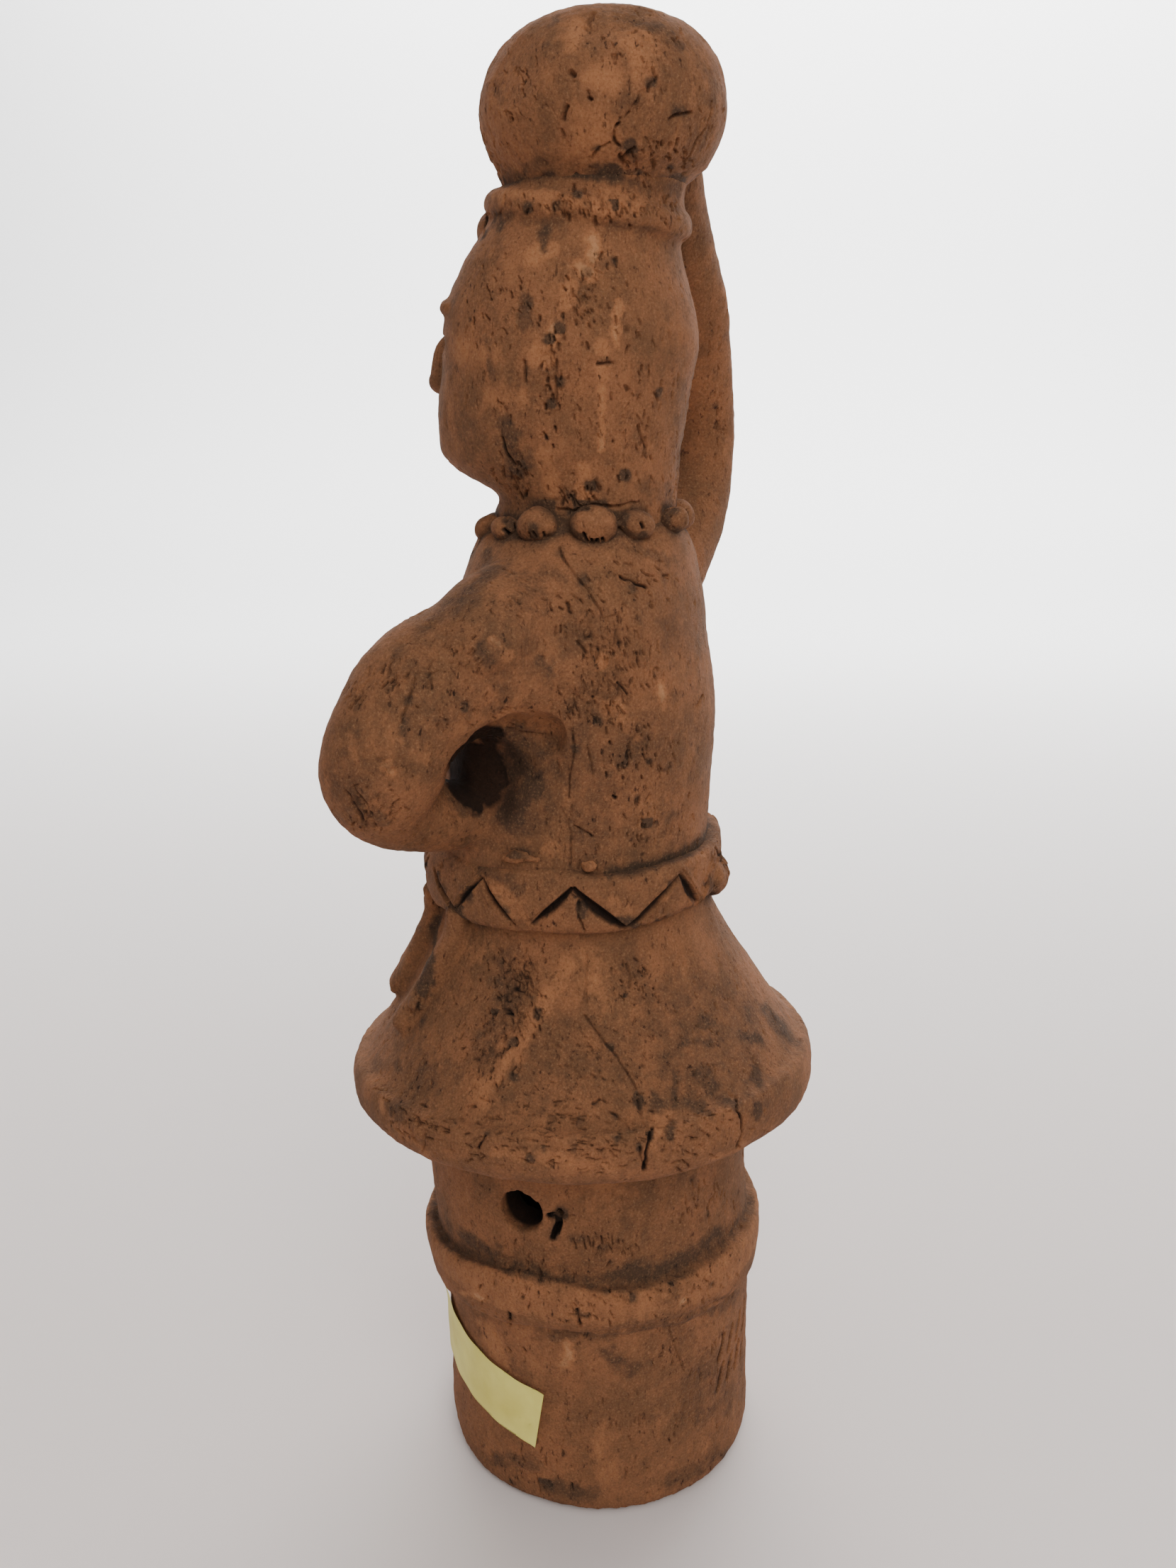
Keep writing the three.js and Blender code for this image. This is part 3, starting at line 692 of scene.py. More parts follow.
skirt = Skin("skirt", clay, 0.52, 4)
skirt.combs(
    (700, 1345, 766, 1445, 130, 7, 0.3, 0.1, 0.4), (664, 1446, 726, 1530, 60, 7, -0.5),
    (660, 1565, 930, 1648, 160, 8, 1.5, 0.09, 0.38), (520, 1540, 680, 1610, 34, 9, 1.2),
    (900, 1560, 1060, 1640, 44, 8, 1.2), (860, 1350, 910, 1420, 20, 7, 0.6),
    (760, 1440, 900, 1560, 50, 6, 0.9, 0.08, 0.3), (940, 1380, 1100, 1540, 46, 6, 0.4, 0.08, 0.3),
    (540, 1380, 680, 1540, 40, 6, -0.4, 0.08, 0.3),
)
skirt.cracks(
    (828, 1348, 827, 1380, 828, 1413, 0.11, 0.35, 0.2),
    (825, 1432, 849, 1465, 872, 1493, 898, 1535, 0.14, 0.5, 0.3),
    (900, 1553, 909, 1586, 921, 1595, 0.19, 0.5, 0.5),
    (921, 1588, 917, 1610, 912, 1632, 909, 1652, 0.28, 1.1, 0.5),
    (902, 1620, 906, 1640, 0.17, 0.7, 0.5),
    (1038, 1544, 1041, 1566, 1048, 1580, 1049, 1600, 1040, 1619, 0.19, 0.9, 0.5),
    (884, 1360, 891, 1381, 888, 1392, 0.22, 0.5, 0.5), (924, 1402, 930, 1414, 0.22, 0.4, 0.5),
    (684, 1602, 674, 1620, 0.19, 0.8, 0.5), (683, 1576, 706, 1580, 0.14, 0.5, 0.5),
    (805, 1577, 823, 1580, 0.14, 0.5, 0.5), (612, 1588, 634, 1594, 0.17, 0.5, 0.5),
    (735, 1490, 733, 1512, 0.14, 0.5, 0.5), (600, 1600, 596, 1626, 0.14, 0.5, 0.5),
)
skirt.tatters(
    (728, 1376, 30, 0.5), (738, 1412, 26, 0.5), (712, 1444, 22, 0.4), (694, 1484, 24, 0.35),
    (668, 1510, 20, 0.3), (800, 1600, 60, 0.16), (700, 1610, 50, 0.18), (930, 1600, 40, 0.16),
    (1010, 1600, 36, 0.2), (880, 1370, 26, 0.25), (900, 1480, 60, 0.1), (600, 1480, 50, 0.1),
)
fire(skirt, 23, cracks=24, pits=300, torn=5)
# the thumbed streak that runs down from the belt stands a little proud
path, _ = skirt.seen_path([(800, 1362), (741, 1469), (676, 1549)])
for place in path:
    index, gap = skirt.near(place, 4.2)
    swell = -0.26 * np.clip(1 - gap / 4.2, 0, 1)
    sunk = skirt.sink[index]
    skirt.sink[index] = np.where(sunk > 0.4, sunk, np.minimum(sunk, swell))
for row in ((585, 1416, 9, 1.1), (590, 1598, 9, 0.7), (596, 1420, 5, 0.5)):
    skirt.swell(*row)
# soot stains; the broadest patches, of radius 34 to 60, are painted shade
skirt.paint_marks(
    skirt.soot, 1,
    (998, 1441, 15, 0.6), (964, 1469, 1004, 1469, 7, 0.6), (1046, 1463, 1072, 1468, 9, 0.7),
    (1085, 1435, 1110, 1450, 18, 0.6), (990, 1510, 1004, 1540, 20, 0.6),
    (1020, 1548, 1036, 1556, 13, 0.6), (1070, 1510, 1070, 1524, 9, 0.8),
    (1073, 1562, 1072, 1574, 8, 0.8), (925, 1552, 985, 1556, 12, 0.6), (952, 1512, 952, 1548, 8, 0.6),
    (947, 1594, 947, 1606, 8, 0.7), (562, 1498, 562, 1508, 8, 0.5), (590, 1520, 625, 1526, 20, 0.4),
    (548, 1560, 562, 1566, 11, 0.5), (617, 1300, 612, 1340, 597, 1400, 9, 0.9),
    (722, 1360, 716, 1430, 690, 1480, 20, 0.42), (960, 1440, 1060, 1520, 60, 0.34),
    (800, 1480, 880, 1500, 60, 0.22), (980, 1380, 1060, 1430, 34, 0.25),
    (560, 1440, 600, 1540, 44, 0.2), (700, 1545, 770, 1560, 14, 0.25), (860, 1540, 900, 1560, 14, 0.2),
)
skirt.paint_marks(
    skirt.rub, 1,
    (800, 1362, 741, 1469, 676, 1549, 16, 0.55), (832, 1345, 850, 1420, 16, 0.4),
    (700, 1625, 860, 1650, 10, 0.4), (540, 1560, 600, 1630, 12, 0.4), (930, 1580, 925, 1620, 10, 0.5),
    (650, 1350, 690, 1330, 18, 0.3), (1000, 1640, 1050, 1620, 10, 0.4),
)
skirt.soot += 0.08
skirt.finish()

# Body with its arms
# One thrown and pinched tube, with the arms rolled, luted on and thumbed smooth at the shoulders:
# the left one bent back to the waist like a jug's handle, the right one raised to the jar.

torso_radius, shoulder_breadth, neck_radius, body_wall = 24.4, 27.0, 16.0, 6.0
shape = [
    (0.02, waist_radius - 0.4, waist_radius - 0.6), (0.12, waist_radius + 0.6, waist_radius),
    (0.26, torso_radius + 1.8, torso_radius + 0.5), (0.46, torso_radius + 2.1, torso_radius + 0.5),
    (0.6, shoulder_breadth, torso_radius - 0.4), (0.7, shoulder_breadth, torso_radius - 2),
    (0.8, shoulder_breadth - 0.8, torso_radius - 3.1), (0.87, shoulder_breadth - 3.2, torso_radius - 4.3),
    (0.92, neck_radius + 5.2, neck_radius + 3.2), (0.965, neck_radius + 2, neck_radius + 1.6),
    (1.0, neck_radius - 0.6, neck_radius - 0.6),
]
outside = [(waist_height + share * torso_long, x, y, 0, 0, 0) for share, x, y in shape]
inside = [(height, x - body_wall, y - body_wall, 0, 0, 0) for height, x, y, *_ in outside[::-1]]
clay = bmesh.new()
wrapped(clay, oval_rings(outside, 50) + oval_rings(inside, 16), looped=True)

reach, half = 40.0, 9.5
bent = [
    (0.2 * reach, -2, shoulder_height - 3, 1.35 * half, 1.75 * half),
    (0.45 * reach, -8.2, shoulder_height - 0.7, 1.26 * half, 1.54 * half),
    (0.66 * reach, -13.7, shoulder_height - 0.9, 1.21 * half, 1.32 * half),
    (0.845 * reach, -18.2, shoulder_height - 4.2, 1.19 * half, 1.19 * half),
    (0.965 * reach, -21.8, shoulder_height - 10.9, 1.1 * half, 1.1 * half),
    (0.98 * reach, -23.7, shoulder_height - 17.8, 1.05 * half, 1.05 * half),
    (0.88 * reach, -23.4, shoulder_height - 23.2, 0.86 * half, 0.86 * half),
    (0.67 * reach, -19.4, shoulder_height - 27.4, 0.66 * half, 0.66 * half),
    (0.42 * reach, -14, shoulder_height - 29, 0.62 * half, 0.62 * half),
]
limb(clay, bent, (0.58, 0.81, 0), count=60, sides=48)

reach, half = 44.0, 7.0
route = [
    (-0.36, -1, 0, 1.3), (-0.64, 1, 0.1, 1.25), (-0.91, 2.7, 0.24, 1.12), (-1, 3.2, 0.38, 1),
    (-0.955, 3.2, 0.52, 0.98), (-0.82, 3.7, 0.68, 0.93), (-0.64, 4.0, 0.82, 0.92), (-0.46, 4.2, 0.94, 0.9),
]
hand_height = jar_base + 0.4 * jar_height
raised = []
for x, y, share, size in route:
    height = shoulder_height + share * (hand_height - shoulder_height)
    raised.append((x * reach, y, height, size * half, size * half * (0.78 if share > 0.8 else 1)))
limb(clay, raised, (0, 1, 0), count=60, sides=40)
lump(clay, (13, 9.5, 6.6), (27, -9.5, 175.4), (0, 0.5, 0))

body = Skin("body_with_arms", clay, 0.56, 4)
body.melt((16, -8, 166), 21, 40)
body.melt((25, 0, 160), 15, 30)
body.melt((20, -16, 139), 10, 14)
body.melt((31, -20, 152), 9, 60)
body.melt((-24, 0, 172), 16, 40)
body.settle()
# the loop's rim is thumbed round, the shoulder filled out and the wall behind the loop pressed in
for row in ((673, 1085, 5.7, 11.5), (692, 1063, 5.8, 7.5), (726, 1050, 5.2, 4.5), (764, 1044, 4.4, 2.4)):
    body.scoop(*row)
body.smooth(6)
body.settle()
for row in ((704, 1086, 66, -3.0), (752, 1080, 70, -1.6), (700, 1130, 50, -1.0), (770, 1040, 40, -0.8)):
    body.knead(*row)
body.settle()
body.smooth(8)
body.melt((26, -11, 181), 17, 40)
body.settle()
body.combs(
    (820, 885, 930, 975, 90, 9, 0.2, 0.09, 0.36), (802, 950, 890, 1016, 54, 9, 0.3, 0.09, 0.36),
    (780, 850, 880, 900, 22, 8, 0.2), (530, 930, 600, 975, 34, 9, -0.5),
    (470, 950, 530, 1000, 18, 8, -0.6), (600, 880, 700, 960, 26, 7, -0.8, 0.09, 0.3),
    (600, 980, 760, 1030, 40, 8, 1.1, 0.09, 0.35), (870, 1010, 960, 1120, 44, 8, 0.1, 0.11, 0.45),
    (850, 1120, 980, 1210, 30, 7, 0.1), (480, 1100, 560, 1180, 30, 8, -0.5),
    (560, 1100, 640, 1190, 22, 7, 1.0, 0.08, 0.3), (840, 790, 960, 860, 36, 7, 0.8, 0.09, 0.35),
    (680, 800, 800, 880, 26, 7, 0.9, 0.08, 0.3), (760, 1040, 850, 1200, 26, 8, 0.05, 0.08, 0.3),
    (1000, 380, 1036, 700, 40, 9, 0.0, 0.08, 0.3),
)
body.cracks(
    (788, 772, 794, 789, 806, 805, 827, 830, 843, 855, 852, 872, 0.15, 0.5, 0.3),
    (876, 814, 889, 820, 912, 828, 0.22, 0.7, 0.5), (852, 872, 870, 867, 0.14, 0.4, 0.3),
    (872, 963, 885, 979, 0.22, 0.8, 0.3), (992, 981, 984, 996, 0.19, 0.7, 0.3),
    (808, 1033, 810, 1058, 804, 1091, 802, 1124, 0.14, 0.6, 0.3),
    (829, 1056, 837, 1091, 0.14, 0.5, 0.3), (732, 1033, 769, 1036, 0.14, 0.5, 0.3),
    (887, 1049, 885, 1068, 0.19, 0.6, 0.5), (866, 1123, 869, 1125, 0.25, 0.9, 0.2),
    (810, 1165, 822, 1170, 835, 1180, 0.17, 0.6, 0.5), (804, 1173, 805, 1219, 0.11, 0.4, 0.3),
    (585, 958, 575, 991, 566, 1020, 0.14, 0.5, 0.3), (612, 952, 604, 970, 0.17, 0.25, 0.3),
    (488, 1115, 500, 1135, 513, 1157, 0.28, 0.6, 0.6),
    (500, 1110, 520, 1140, 530, 1165, 0.17, 0.5, 0.6), (800, 852, 806, 865, 0.22, 0.6, 0.5),
    (898, 920, 902, 940, 0.19, 0.6, 0.5), (815, 905, 826, 920, 0.17, 0.5, 0.5),
    (620, 1148, 678, 1150, 0.17, 0.3, 0.4),
)
body.tatters(
    (850, 905, 34, 0.3), (876, 930, 34, 0.3), (838, 960, 34, 0.3), (880, 975, 26, 0.3),
    (908, 950, 24, 0.25), (865, 1000, 26, 0.32), (895, 1040, 22, 0.3), (820, 880, 24, 0.25),
    (915, 1070, 24, 0.25), (554, 950, 30, 0.34), (488, 975, 22, 0.35), (600, 930, 26, 0.3),
    (640, 1000, 50, 0.16), (700, 960, 60, 0.14), (860, 825, 30, 0.25), (780, 950, 40, 0.16),
    (520, 1060, 40, 0.16), (555, 1080, 20, 0.35), (930, 1150, 40, 0.14), (505, 1140, 26, 0.35),
    (680, 850, 40, 0.14), (870, 1120, 30, 0.2),
)
fire(body, 37, cracks=30, pits=340, torn=6)
for row in (
    (608, 878, 9, 0.35), (864, 998, 12, 0.6), (848, 930, 10, 0.4), (548, 1080, 8, 0.6), (812, 968, 7, 0.6),
):
    body.swell(*row)
# soot stains; the broad patches in and under the arm's loop are painted shade
body.paint_marks(
    body.soot, 0.8,
    (676, 920, 690, 930, 13, 0.75), (760, 936, 772, 950, 10, 0.7), (655, 995, 656, 1000, 6, 0.7),
    (640, 978, 646, 984, 7, 0.5), (566, 1026, 568, 1034, 8, 0.8), (720, 812, 790, 814, 12, 0.4),
    (640, 862, 664, 846, 12, 0.5), (686, 778, 684, 792, 12, 0.6), (700, 880, 712, 970, 16, 0.35),
    (864, 1240, 905, 1227, 947, 1219, 984, 1200, 9, 1.0), (940, 1150, 955, 1146, 11, 0.5),
    (925, 1160, 925, 1166, 6, 0.5), (530, 1152, 536, 1162, 12, 0.6), (486, 1110, 520, 1160, 16, 0.45),
    (820, 812, 818, 820, 8, 0.4), (900, 872, 906, 880, 8, 0.5), (600, 900, 560, 940, 24, 0.3),
    (640, 1130, 690, 1150, 16, 0.55), (680, 1050, 745, 1100, 34, 0.35),
    (860, 1180, 960, 1190, 20, 0.2), (740, 985, 690, 1005, 12, 0.3), (640, 1190, 720, 1180, 12, 0.3),
    (1000, 790, 1005, 800, 14, 0.3), (886, 772, 950, 790, 12, 0.35),
)
body.paint_marks(
    body.rub, 1,
    (695, 905, 705, 912, 9, 0.9), (715, 918, 717, 926, 8, 0.7), (933, 968, 936, 990, 8, 1.0),
    (848, 925, 850, 935, 10, 0.7), (858, 1000, 872, 998, 10, 0.7), (780, 1195, 800, 1205, 16, 0.4),
    (543, 1078, 552, 1086, 7, 0.9), (880, 1010, 900, 1040, 14, 0.4), (560, 1040, 640, 1080, 22, 0.3),
    (640, 1030, 740, 990, 12, 0.35), (960, 900, 975, 1100, 30, 0.2), (495, 1040, 500, 1060, 9, 0.5),
    (1020, 400, 1045, 520, 14, 0.5),
)
# painted shade: the inside of the bent arm's loop is painted black, where deep shade falls
body.paint_marks(
    body.hollow_shade, 1,
    (634, 1078, 648, 1056, 668, 1042, 690, 1034, 13, 1.1), (640, 1100, 660, 1090, 676, 1066, 24, 1.4),
    (640, 1112, 656, 1126, 674, 1134, 13, 1.2), (640, 1100, 690, 1108, 24, 1.3),
    (692, 1048, 704, 1080, 696, 1120, 18, 0.7), (716, 1050, 724, 1090, 714, 1140, 18, 0.4),
)
depth = (body.points - np.array(eye)) @ np.array(ahead)
inner = (body.under(664, 1095)[0] - eye).dot(ahead)
body.hollow_shade *= np.clip((depth - inner + 13) / 4, 0, 1)
# painted shade: broad soft darkening in the recess between the loop and the torso, and over the torso,
# shoulder and elbow
body.paint_marks(
    body.soot, 1,
    (700, 1032, 740, 1030, 9, 0.45), (735, 1060, 742, 1110, 726, 1160, 30, 0.75),
    (770, 1050, 776, 1140, 26, 0.4), (800, 1010, 830, 1100, 820, 1200, 44, 0.32),
    (730, 850, 760, 830, 40, 0.25), (490, 1060, 510, 1130, 34, 0.32), (600, 1000, 560, 1060, 40, 0.2),
    (930, 1000, 950, 1180, 34, 0.2), (640, 850, 700, 800, 22, 0.45), (600, 885, 660, 850, 16, 0.4),
)
body.soot += 0.07
body.finish()

# Belt
# A flat strap of clay luted round the waist over the joint of skirt and body, with a zigzag cut
# into it by a bamboo blade, knotted at the back.

clay = bmesh.new()
band = [(22, -5.4), (25.6, -5.3), (27.1, -4.9), (27.8, -3.6), (28.05, -0.6), (28.0, 2.6), (27.8, 4.2)]
band += [(27.2, 5.0), (26.2, 5.2), (22, 5.1)]
band = [(radius, belt_height + height) for radius, height in smooth_run(band, 40)]
ring = spun(clay, band, 160)
for vert in ring:
    turn = math.atan2(vert.co.y, vert.co.x)
    vert.co.x *= 1.02
    vert.co.z += 0.045 * vert.co.y + 0.4 * math.sin(2 * turn + 1) + 0.18 * math.sin(7 * turn)
    degrees = math.degrees(turn) % 360
    luted = min(max((30 - degrees) / 14, 0), 1) if degrees < 180 else 1
    top = min(max((vert.co.z - belt_height - 2) / 3, 0), 1) * luted
    vert.co.x *= 1 - 0.045 * top
    vert.co.y *= 1 - 0.045 * top
    vert.co.z += 1.1 * top
leaned(ring)
for sizes, angle, radius, height, turn in (
    ((2.6, 5.6, 2.8), 104, 25.3, belt_height + 0.3, 0.2),
    ((3.4, 6.4, 4.2), 106, 26.3, belt_height - 3.2, -0.25),
    ((2.6, 3.2, 3.6), 97, 26.8, belt_height - 1.6, 0.3),
):
    lump(clay, sizes, at_angle(angle, radius, height), (turn, 0, math.radians(angle)))
belt = Skin("belt", clay, 0.36, 3)


def pull(skin, start, end):
    """The line of one pull of the blade from one (angle, height) to another."""
    path = []
    steps = 60
    for k in range(steps + 1):
        angle = start[0] + (end[0] - start[0]) * k / steps
        height = start[1] + (end[1] - start[1]) * k / steps
        aim = at_angle(angle, 40, height)
        place, *_ = skin.bounce.ray_cast(aim, (Vector((0, lean(height), height)) - aim).normalized())
        if place is not None:
            path.append(place)
    return path


def press(skin, path, wide, deep):
    """Presses the blade in along a line: a steep upper side, a sloping lower one, and a burr."""
    for k, place in enumerate(path):
        share = k / max(len(path) - 1, 1)
        taper = 0.5 + 0.5 * math.sin(math.pi * min(max(share, 0.06), 0.9))
        index, gap = skin.near(place, wide * 2)
        if not len(index):
            continue
        above = (skin.points[index, 2] - place.z) / wide
        reach = wide * taper * np.clip(1 - 0.55 * above, 0.5, 1.5)
        depth = deep * taper * np.clip(1.1 - gap / reach, 0, 1) ** 0.8
        burr = -0.14 * np.clip(1 - np.abs(gap - 1.5 * wide) / (0.45 * wide), 0, 1)
        sunk = skin.sink[index]
        edge = np.where(sunk < 0.2, np.minimum(sunk, burr), sunk)
        skin.sink[index] = np.where(depth > 0, np.maximum(sunk, depth), edge)


strokes = [(-41, 127.8), (-27, 122.4), (-13, 130.0), (1.5, 122.6), None, (7.4, 123.4), (22, 130.2)]
strokes += [(41, 122.4), (64, 129.7), (77, 122.4)]
turn = 77
while turn < 300:
    turn += 15.6
    corner = belt_height + (3.6 if len(strokes) % 2 == 0 else -3.4)
    strokes.append((turn, corner + 0.045 * 25 * math.sin(math.radians(turn))))
pulls = []
for number, (start, end) in enumerate(zip(strokes, strokes[1:])):
    if start and end:
        gap = 0.5 if end[0] > start[0] else -0.5
        path = pull(belt, (start[0] + gap, start[1]), (end[0] - gap, end[1]))
        wide = (0.8, 0.6, 0.7, 0, 0, 0.66, 0.85, 0.8, 0.95)[number] if number < 9 else 0.7
        pulls.append((path, wide))
        belt.lines.append((path, wide, 0, 0))
belt.cracks(
    (818, 1270, 816, 1288, 824, 1312, 0.19, 0.8, 0.5), (812, 1266, 806, 1262, 0.17, 0.5, 0.5),
    (748, 1318, 760, 1314, 770, 1318, 0.17, 0.6, 0.5),
)
belt.tatters(
    (850, 1248, 18, 0.3), (745, 1300, 16, 0.2),
)
fire(belt, 51, cracks=10, pits=90, torn=2)
for path, wide in pulls:
    press(belt, path, wide, 1.35)
belt.paint_marks(
    belt.soot, 1,
    (736, 1256, 700, 1230, 680, 1222, 9, 0.5), (1000, 1240, 1010, 1262, 12, 0.5),
    (870, 1300, 915, 1308, 8, 0.7), (930, 1252, 980, 1226, 8, 0.35),
)
belt.paint_marks(
    belt.rub, 1,
    (700, 1260, 740, 1290, 14, 0.45), (880, 1290, 860, 1270, 12, 0.35),
    (920, 1270, 960, 1250, 14, 0.3),
)
belt.finish()

# Crumbs on the belt's edge
# Bits of clay squeezed out of the joint above the belt and a stray pellet, left where they stuck.

clay = bmesh.new()
back = into_row.inverted()
finished = BVHTree.FromPolygons([back @ vert.co for vert in body.piece.data.vertices], body.faces)
for x, y, size in (
    (728, 1207, 1.5), (720, 1210, 1.1), (738, 1208, 1.2), (748, 1211, 0.8), (712, 1209, 0.8),
    (831, 1221, 1.25), (758, 1213, 0.7),
):
    place, *_ = finished.ray_cast(eye, sight_line(x, y))
    for vert in lump(clay, (size, size, 0.7 * size), place, detail=3):
        x, y, z = vert.co
        vert.co += 0.25 * size * Vector((math.sin(7 * z), math.sin(5 * x), math.sin(6 * y)))
crumbs = Skin("crumbs", clay, 0.3, 2)
crumbs.rub += 0.4
crumbs.finish()

# Head
# A pinched hollow egg of clay, bald under the ring, with pierced eyes and mouth, a wedge of a nose,
# brows pressed on, and a lump of hair over the forehead.

head_radius = 21.5
shape = [
    (-0.055, -5.2, -5.2, 0), (0.0, -5.5, -5.5, 0), (0.07, -5.5, -5.9, -0.2), (0.14, -4.4, -2.3, 3.1),
    (0.21, -3, -0.4, 5.0), (0.3, -2.2, 0.1, 4.9), (0.39, -1.8, 0.2, 4.5), (0.5, -1.4, 0.2, 3.6),
    (0.6, -1.4, 0.4, 3.1), (0.7, -2, -0.5, 3.1), (0.79, -3, -2.2, 2.8), (0.87, -4.1, -3.8, 2.3),
    (0.935, -5.2, -5.2, 1.1), (1.0, -5.6, -5.8, 0),
]
outside, inside = [], []
for share, x, y, forward in shape:
    outside.append((neck_height + share * head_long, head_radius + x, head_radius + y, forward, 0, 0))
outside += [(jar_base, 15, 15, 0, 0, 0), (jar_base + 3, 13, 13, 0, 0, 0)]
for height, x, y, forward, *_ in outside[::-1]:
    inside.append((height, x - body_wall, y - body_wall, forward, 0, 0))
clay = bmesh.new()
wrapped(clay, oval_rings(outside, 60) + oval_rings(inside, 24), looped=True)


def face_front(height):
    """How far forward the face's surface is at a height."""
    heights = [station[0] for station in outside]
    depth = np.interp(height, heights, [station[2] for station in outside])
    forward = np.interp(height, heights, [station[3] for station in outside])
    return lean(height) - float(forward + depth)


tools = bmesh.new()
eye_height, mouth_height = neck_height + 0.59 * head_long, neck_height + 0.29 * head_long
for side in (-1, 1):
    place = (7.6 * side, face_front(eye_height) + 3, eye_height)
    lump(tools, (4.3, 9, 1.4), place, (0, 0.08 * side, -0.25 * side), detail=3)
lump(tools, (5, 8, 1.0), (0, face_front(mouth_height) + 1, mouth_height), detail=3)
clay = cut_away("head", clay, tools)

nose_base = neck_height + 0.425 * head_long
lump(clay, (3.1, 4.0, 2.7), (0, face_front(nose_base) - 0.3, nose_base + 1.7), (0.1, 0, 0))
lump(clay, (2.3, 3.9, 5.4), (0, face_front(nose_base + 4) - 0.5, nose_base + 4.4), (-0.2, 0, 0))
brow_height = neck_height + 0.7 * head_long
for side in (-1, 1):
    lump(clay, (6.4, 1.8, 1.4), (7 * side, face_front(brow_height) + 2.3, brow_height), (0, 0, 0.38 * side))
hair_height = crown_height - 3
lump(clay, (7, 3.6, 4.6), (0, lean(hair_height) - 15.2, hair_height), (0.25, 0, 0))

# the ring that carries the jar is a coil, flattened on its outside
coil = [(12, -2.3), (14.8, -2.4), (16.2, -2.0), (16.9, -0.9), (16.95, 0.6), (16.4, 1.8), (15.2, 2.5)]
coil = smooth_run(coil + [(13.5, 2.7), (12, 2.4)], 24)
ring = spun(clay, [(radius, crown_height + height) for radius, height in coil])
for vert in ring:
    turn = math.atan2(vert.co.y, vert.co.x)
    vert.co.z += -0.115 * vert.co.y + 0.25 * math.sin(3 * turn) + 0.15 * math.sin(8 * turn)
leaned(ring)
head = Skin("head", clay, 0.5, 4)
head.melt((0, face_front(nose_base) - 1, nose_base + 3), 8, 6)
head.settle()
head.combs(
    (758, 266, 950, 306, 110, 8, 0.1, 0.11, 0.42), (800, 380, 870, 456, 60, 7, 0.3, 0.1, 0.4),
    (764, 470, 792, 610, 40, 8, 0.1, 0.12, 0.5), (870, 470, 960, 620, 46, 8, 0.1, 0.08, 0.35),
    (700, 650, 750, 696, 26, 7, 0.3, 0.12, 0.45), (780, 680, 850, 712, 30, 7, 0.3, 0.12, 0.45),
    (860, 620, 960, 700, 26, 7, 0.2), (690, 380, 770, 470, 30, 7, 0.2),
    (640, 450, 740, 600, 26, 7, 0.1, 0.08, 0.3), (790, 500, 870, 660, 30, 7, 0.1, 0.08, 0.3),
)
head.cracks(
    (739, 509, 740, 522, 741, 538, 0.17, 0.6, 0.3), (785, 509, 784, 540, 783, 571, 0.17, 0.6, 0.4),
    (845, 514, 855, 512, 866, 514, 0.17, 0.6, 0.4), (882, 546, 886, 550, 0.33, 0.7, 0.5),
    (900, 600, 905, 618, 911, 633, 907, 645, 0.17, 0.6, 0.4),
    (708, 618, 714, 640, 725, 656, 0.25, 0.9, 0.3),
    (787, 720, 812, 720, 832, 711, 869, 715, 902, 707, 0.17, 0.6, 0.5),
    (708, 660, 712, 678, 0.17, 0.6, 0.5), (722, 672, 730, 690, 0.17, 0.6, 0.6),
    (746, 396, 742, 420, 0.14, 0.3, 0.3), (836, 380, 850, 384, 0.17, 0.5, 0.4),
    (788, 688, 796, 700, 792, 712, 0.22, 0.7, 0.5), (838, 678, 846, 692, 0.19, 0.6, 0.5),
    (690, 300, 686, 318, 683, 334, 0.17, 0.7, 0.3),
)
head.tatters(
    (765, 500, 16, 0.4), (768, 535, 16, 0.45), (775, 570, 16, 0.3), (845, 418, 46, 0.22),
    (820, 395, 26, 0.2), (728, 630, 22, 0.35), (716, 690, 24, 0.35), (788, 700, 18, 0.4),
    (800, 285, 16, 0.34), (830, 284, 18, 0.34), (860, 286, 18, 0.34), (890, 290, 18, 0.34),
    (920, 298, 18, 0.34), (945, 306, 16, 0.3), (772, 282, 14, 0.34), (905, 620, 24, 0.2),
    (860, 640, 30, 0.1), (760, 420, 24, 0.2),
)
fire(head, 63, cracks=12, pits=180, torn=3)
head.paint_marks(
    head.soot, 0.75,
    (697, 312, 706, 318, 10, 0.9), (712, 308, 790, 316, 7, 0.55), (766, 325, 764, 350, 8, 0.85),
    (744, 420, 738, 455, 9, 0.75), (728, 440, 730, 470, 8, 0.4), (689, 480, 694, 530, 10, 0.6),
    (640, 422, 644, 426, 9, 0.5), (714, 600, 728, 660, 15, 0.85), (742, 630, 750, 655, 10, 0.5),
    (838, 680, 845, 690, 9, 0.5), (910, 690, 950, 700, 14, 0.5), (800, 244, 900, 256, 7, 0.9),
    (712, 246, 716, 250, 8, 0.8), (755, 230, 772, 236, 8, 0.5), (905, 262, 960, 268, 8, 0.55),
    (860, 318, 960, 332, 6, 0.55), (800, 372, 850, 376, 7, 0.4), (936, 430, 946, 444, 8, 0.35),
    (650, 600, 700, 640, 22, 0.3), (890, 590, 905, 640, 12, 0.25),
)
head.paint_marks(
    head.rub, 1,
    (836, 335, 836, 360, 8, 0.9), (812, 372, 826, 380, 10, 0.8), (781, 462, 779, 480, 8, 0.9),
    (872, 425, 870, 485, 6, 0.75), (850, 490, 848, 530, 8, 0.6), (849, 550, 849, 632, 5, 0.75),
    (755, 502, 775, 508, 14, 0.5), (822, 660, 824, 700, 9, 0.5), (805, 400, 800, 430, 7, 0.6),
    (745, 362, 775, 350, 10, 0.6), (700, 560, 740, 570, 16, 0.3), (690, 270, 760, 275, 9, 0.5),
    (770, 282, 900, 288, 12, 0.45), (640, 490, 700, 500, 14, 0.3), (770, 640, 775, 690, 12, 0.35),
)
head.rub += 0.14
head.finish()

# Necklace
# Balls of clay, pressed on round the neck one by one. The large one at the back left is cracked.

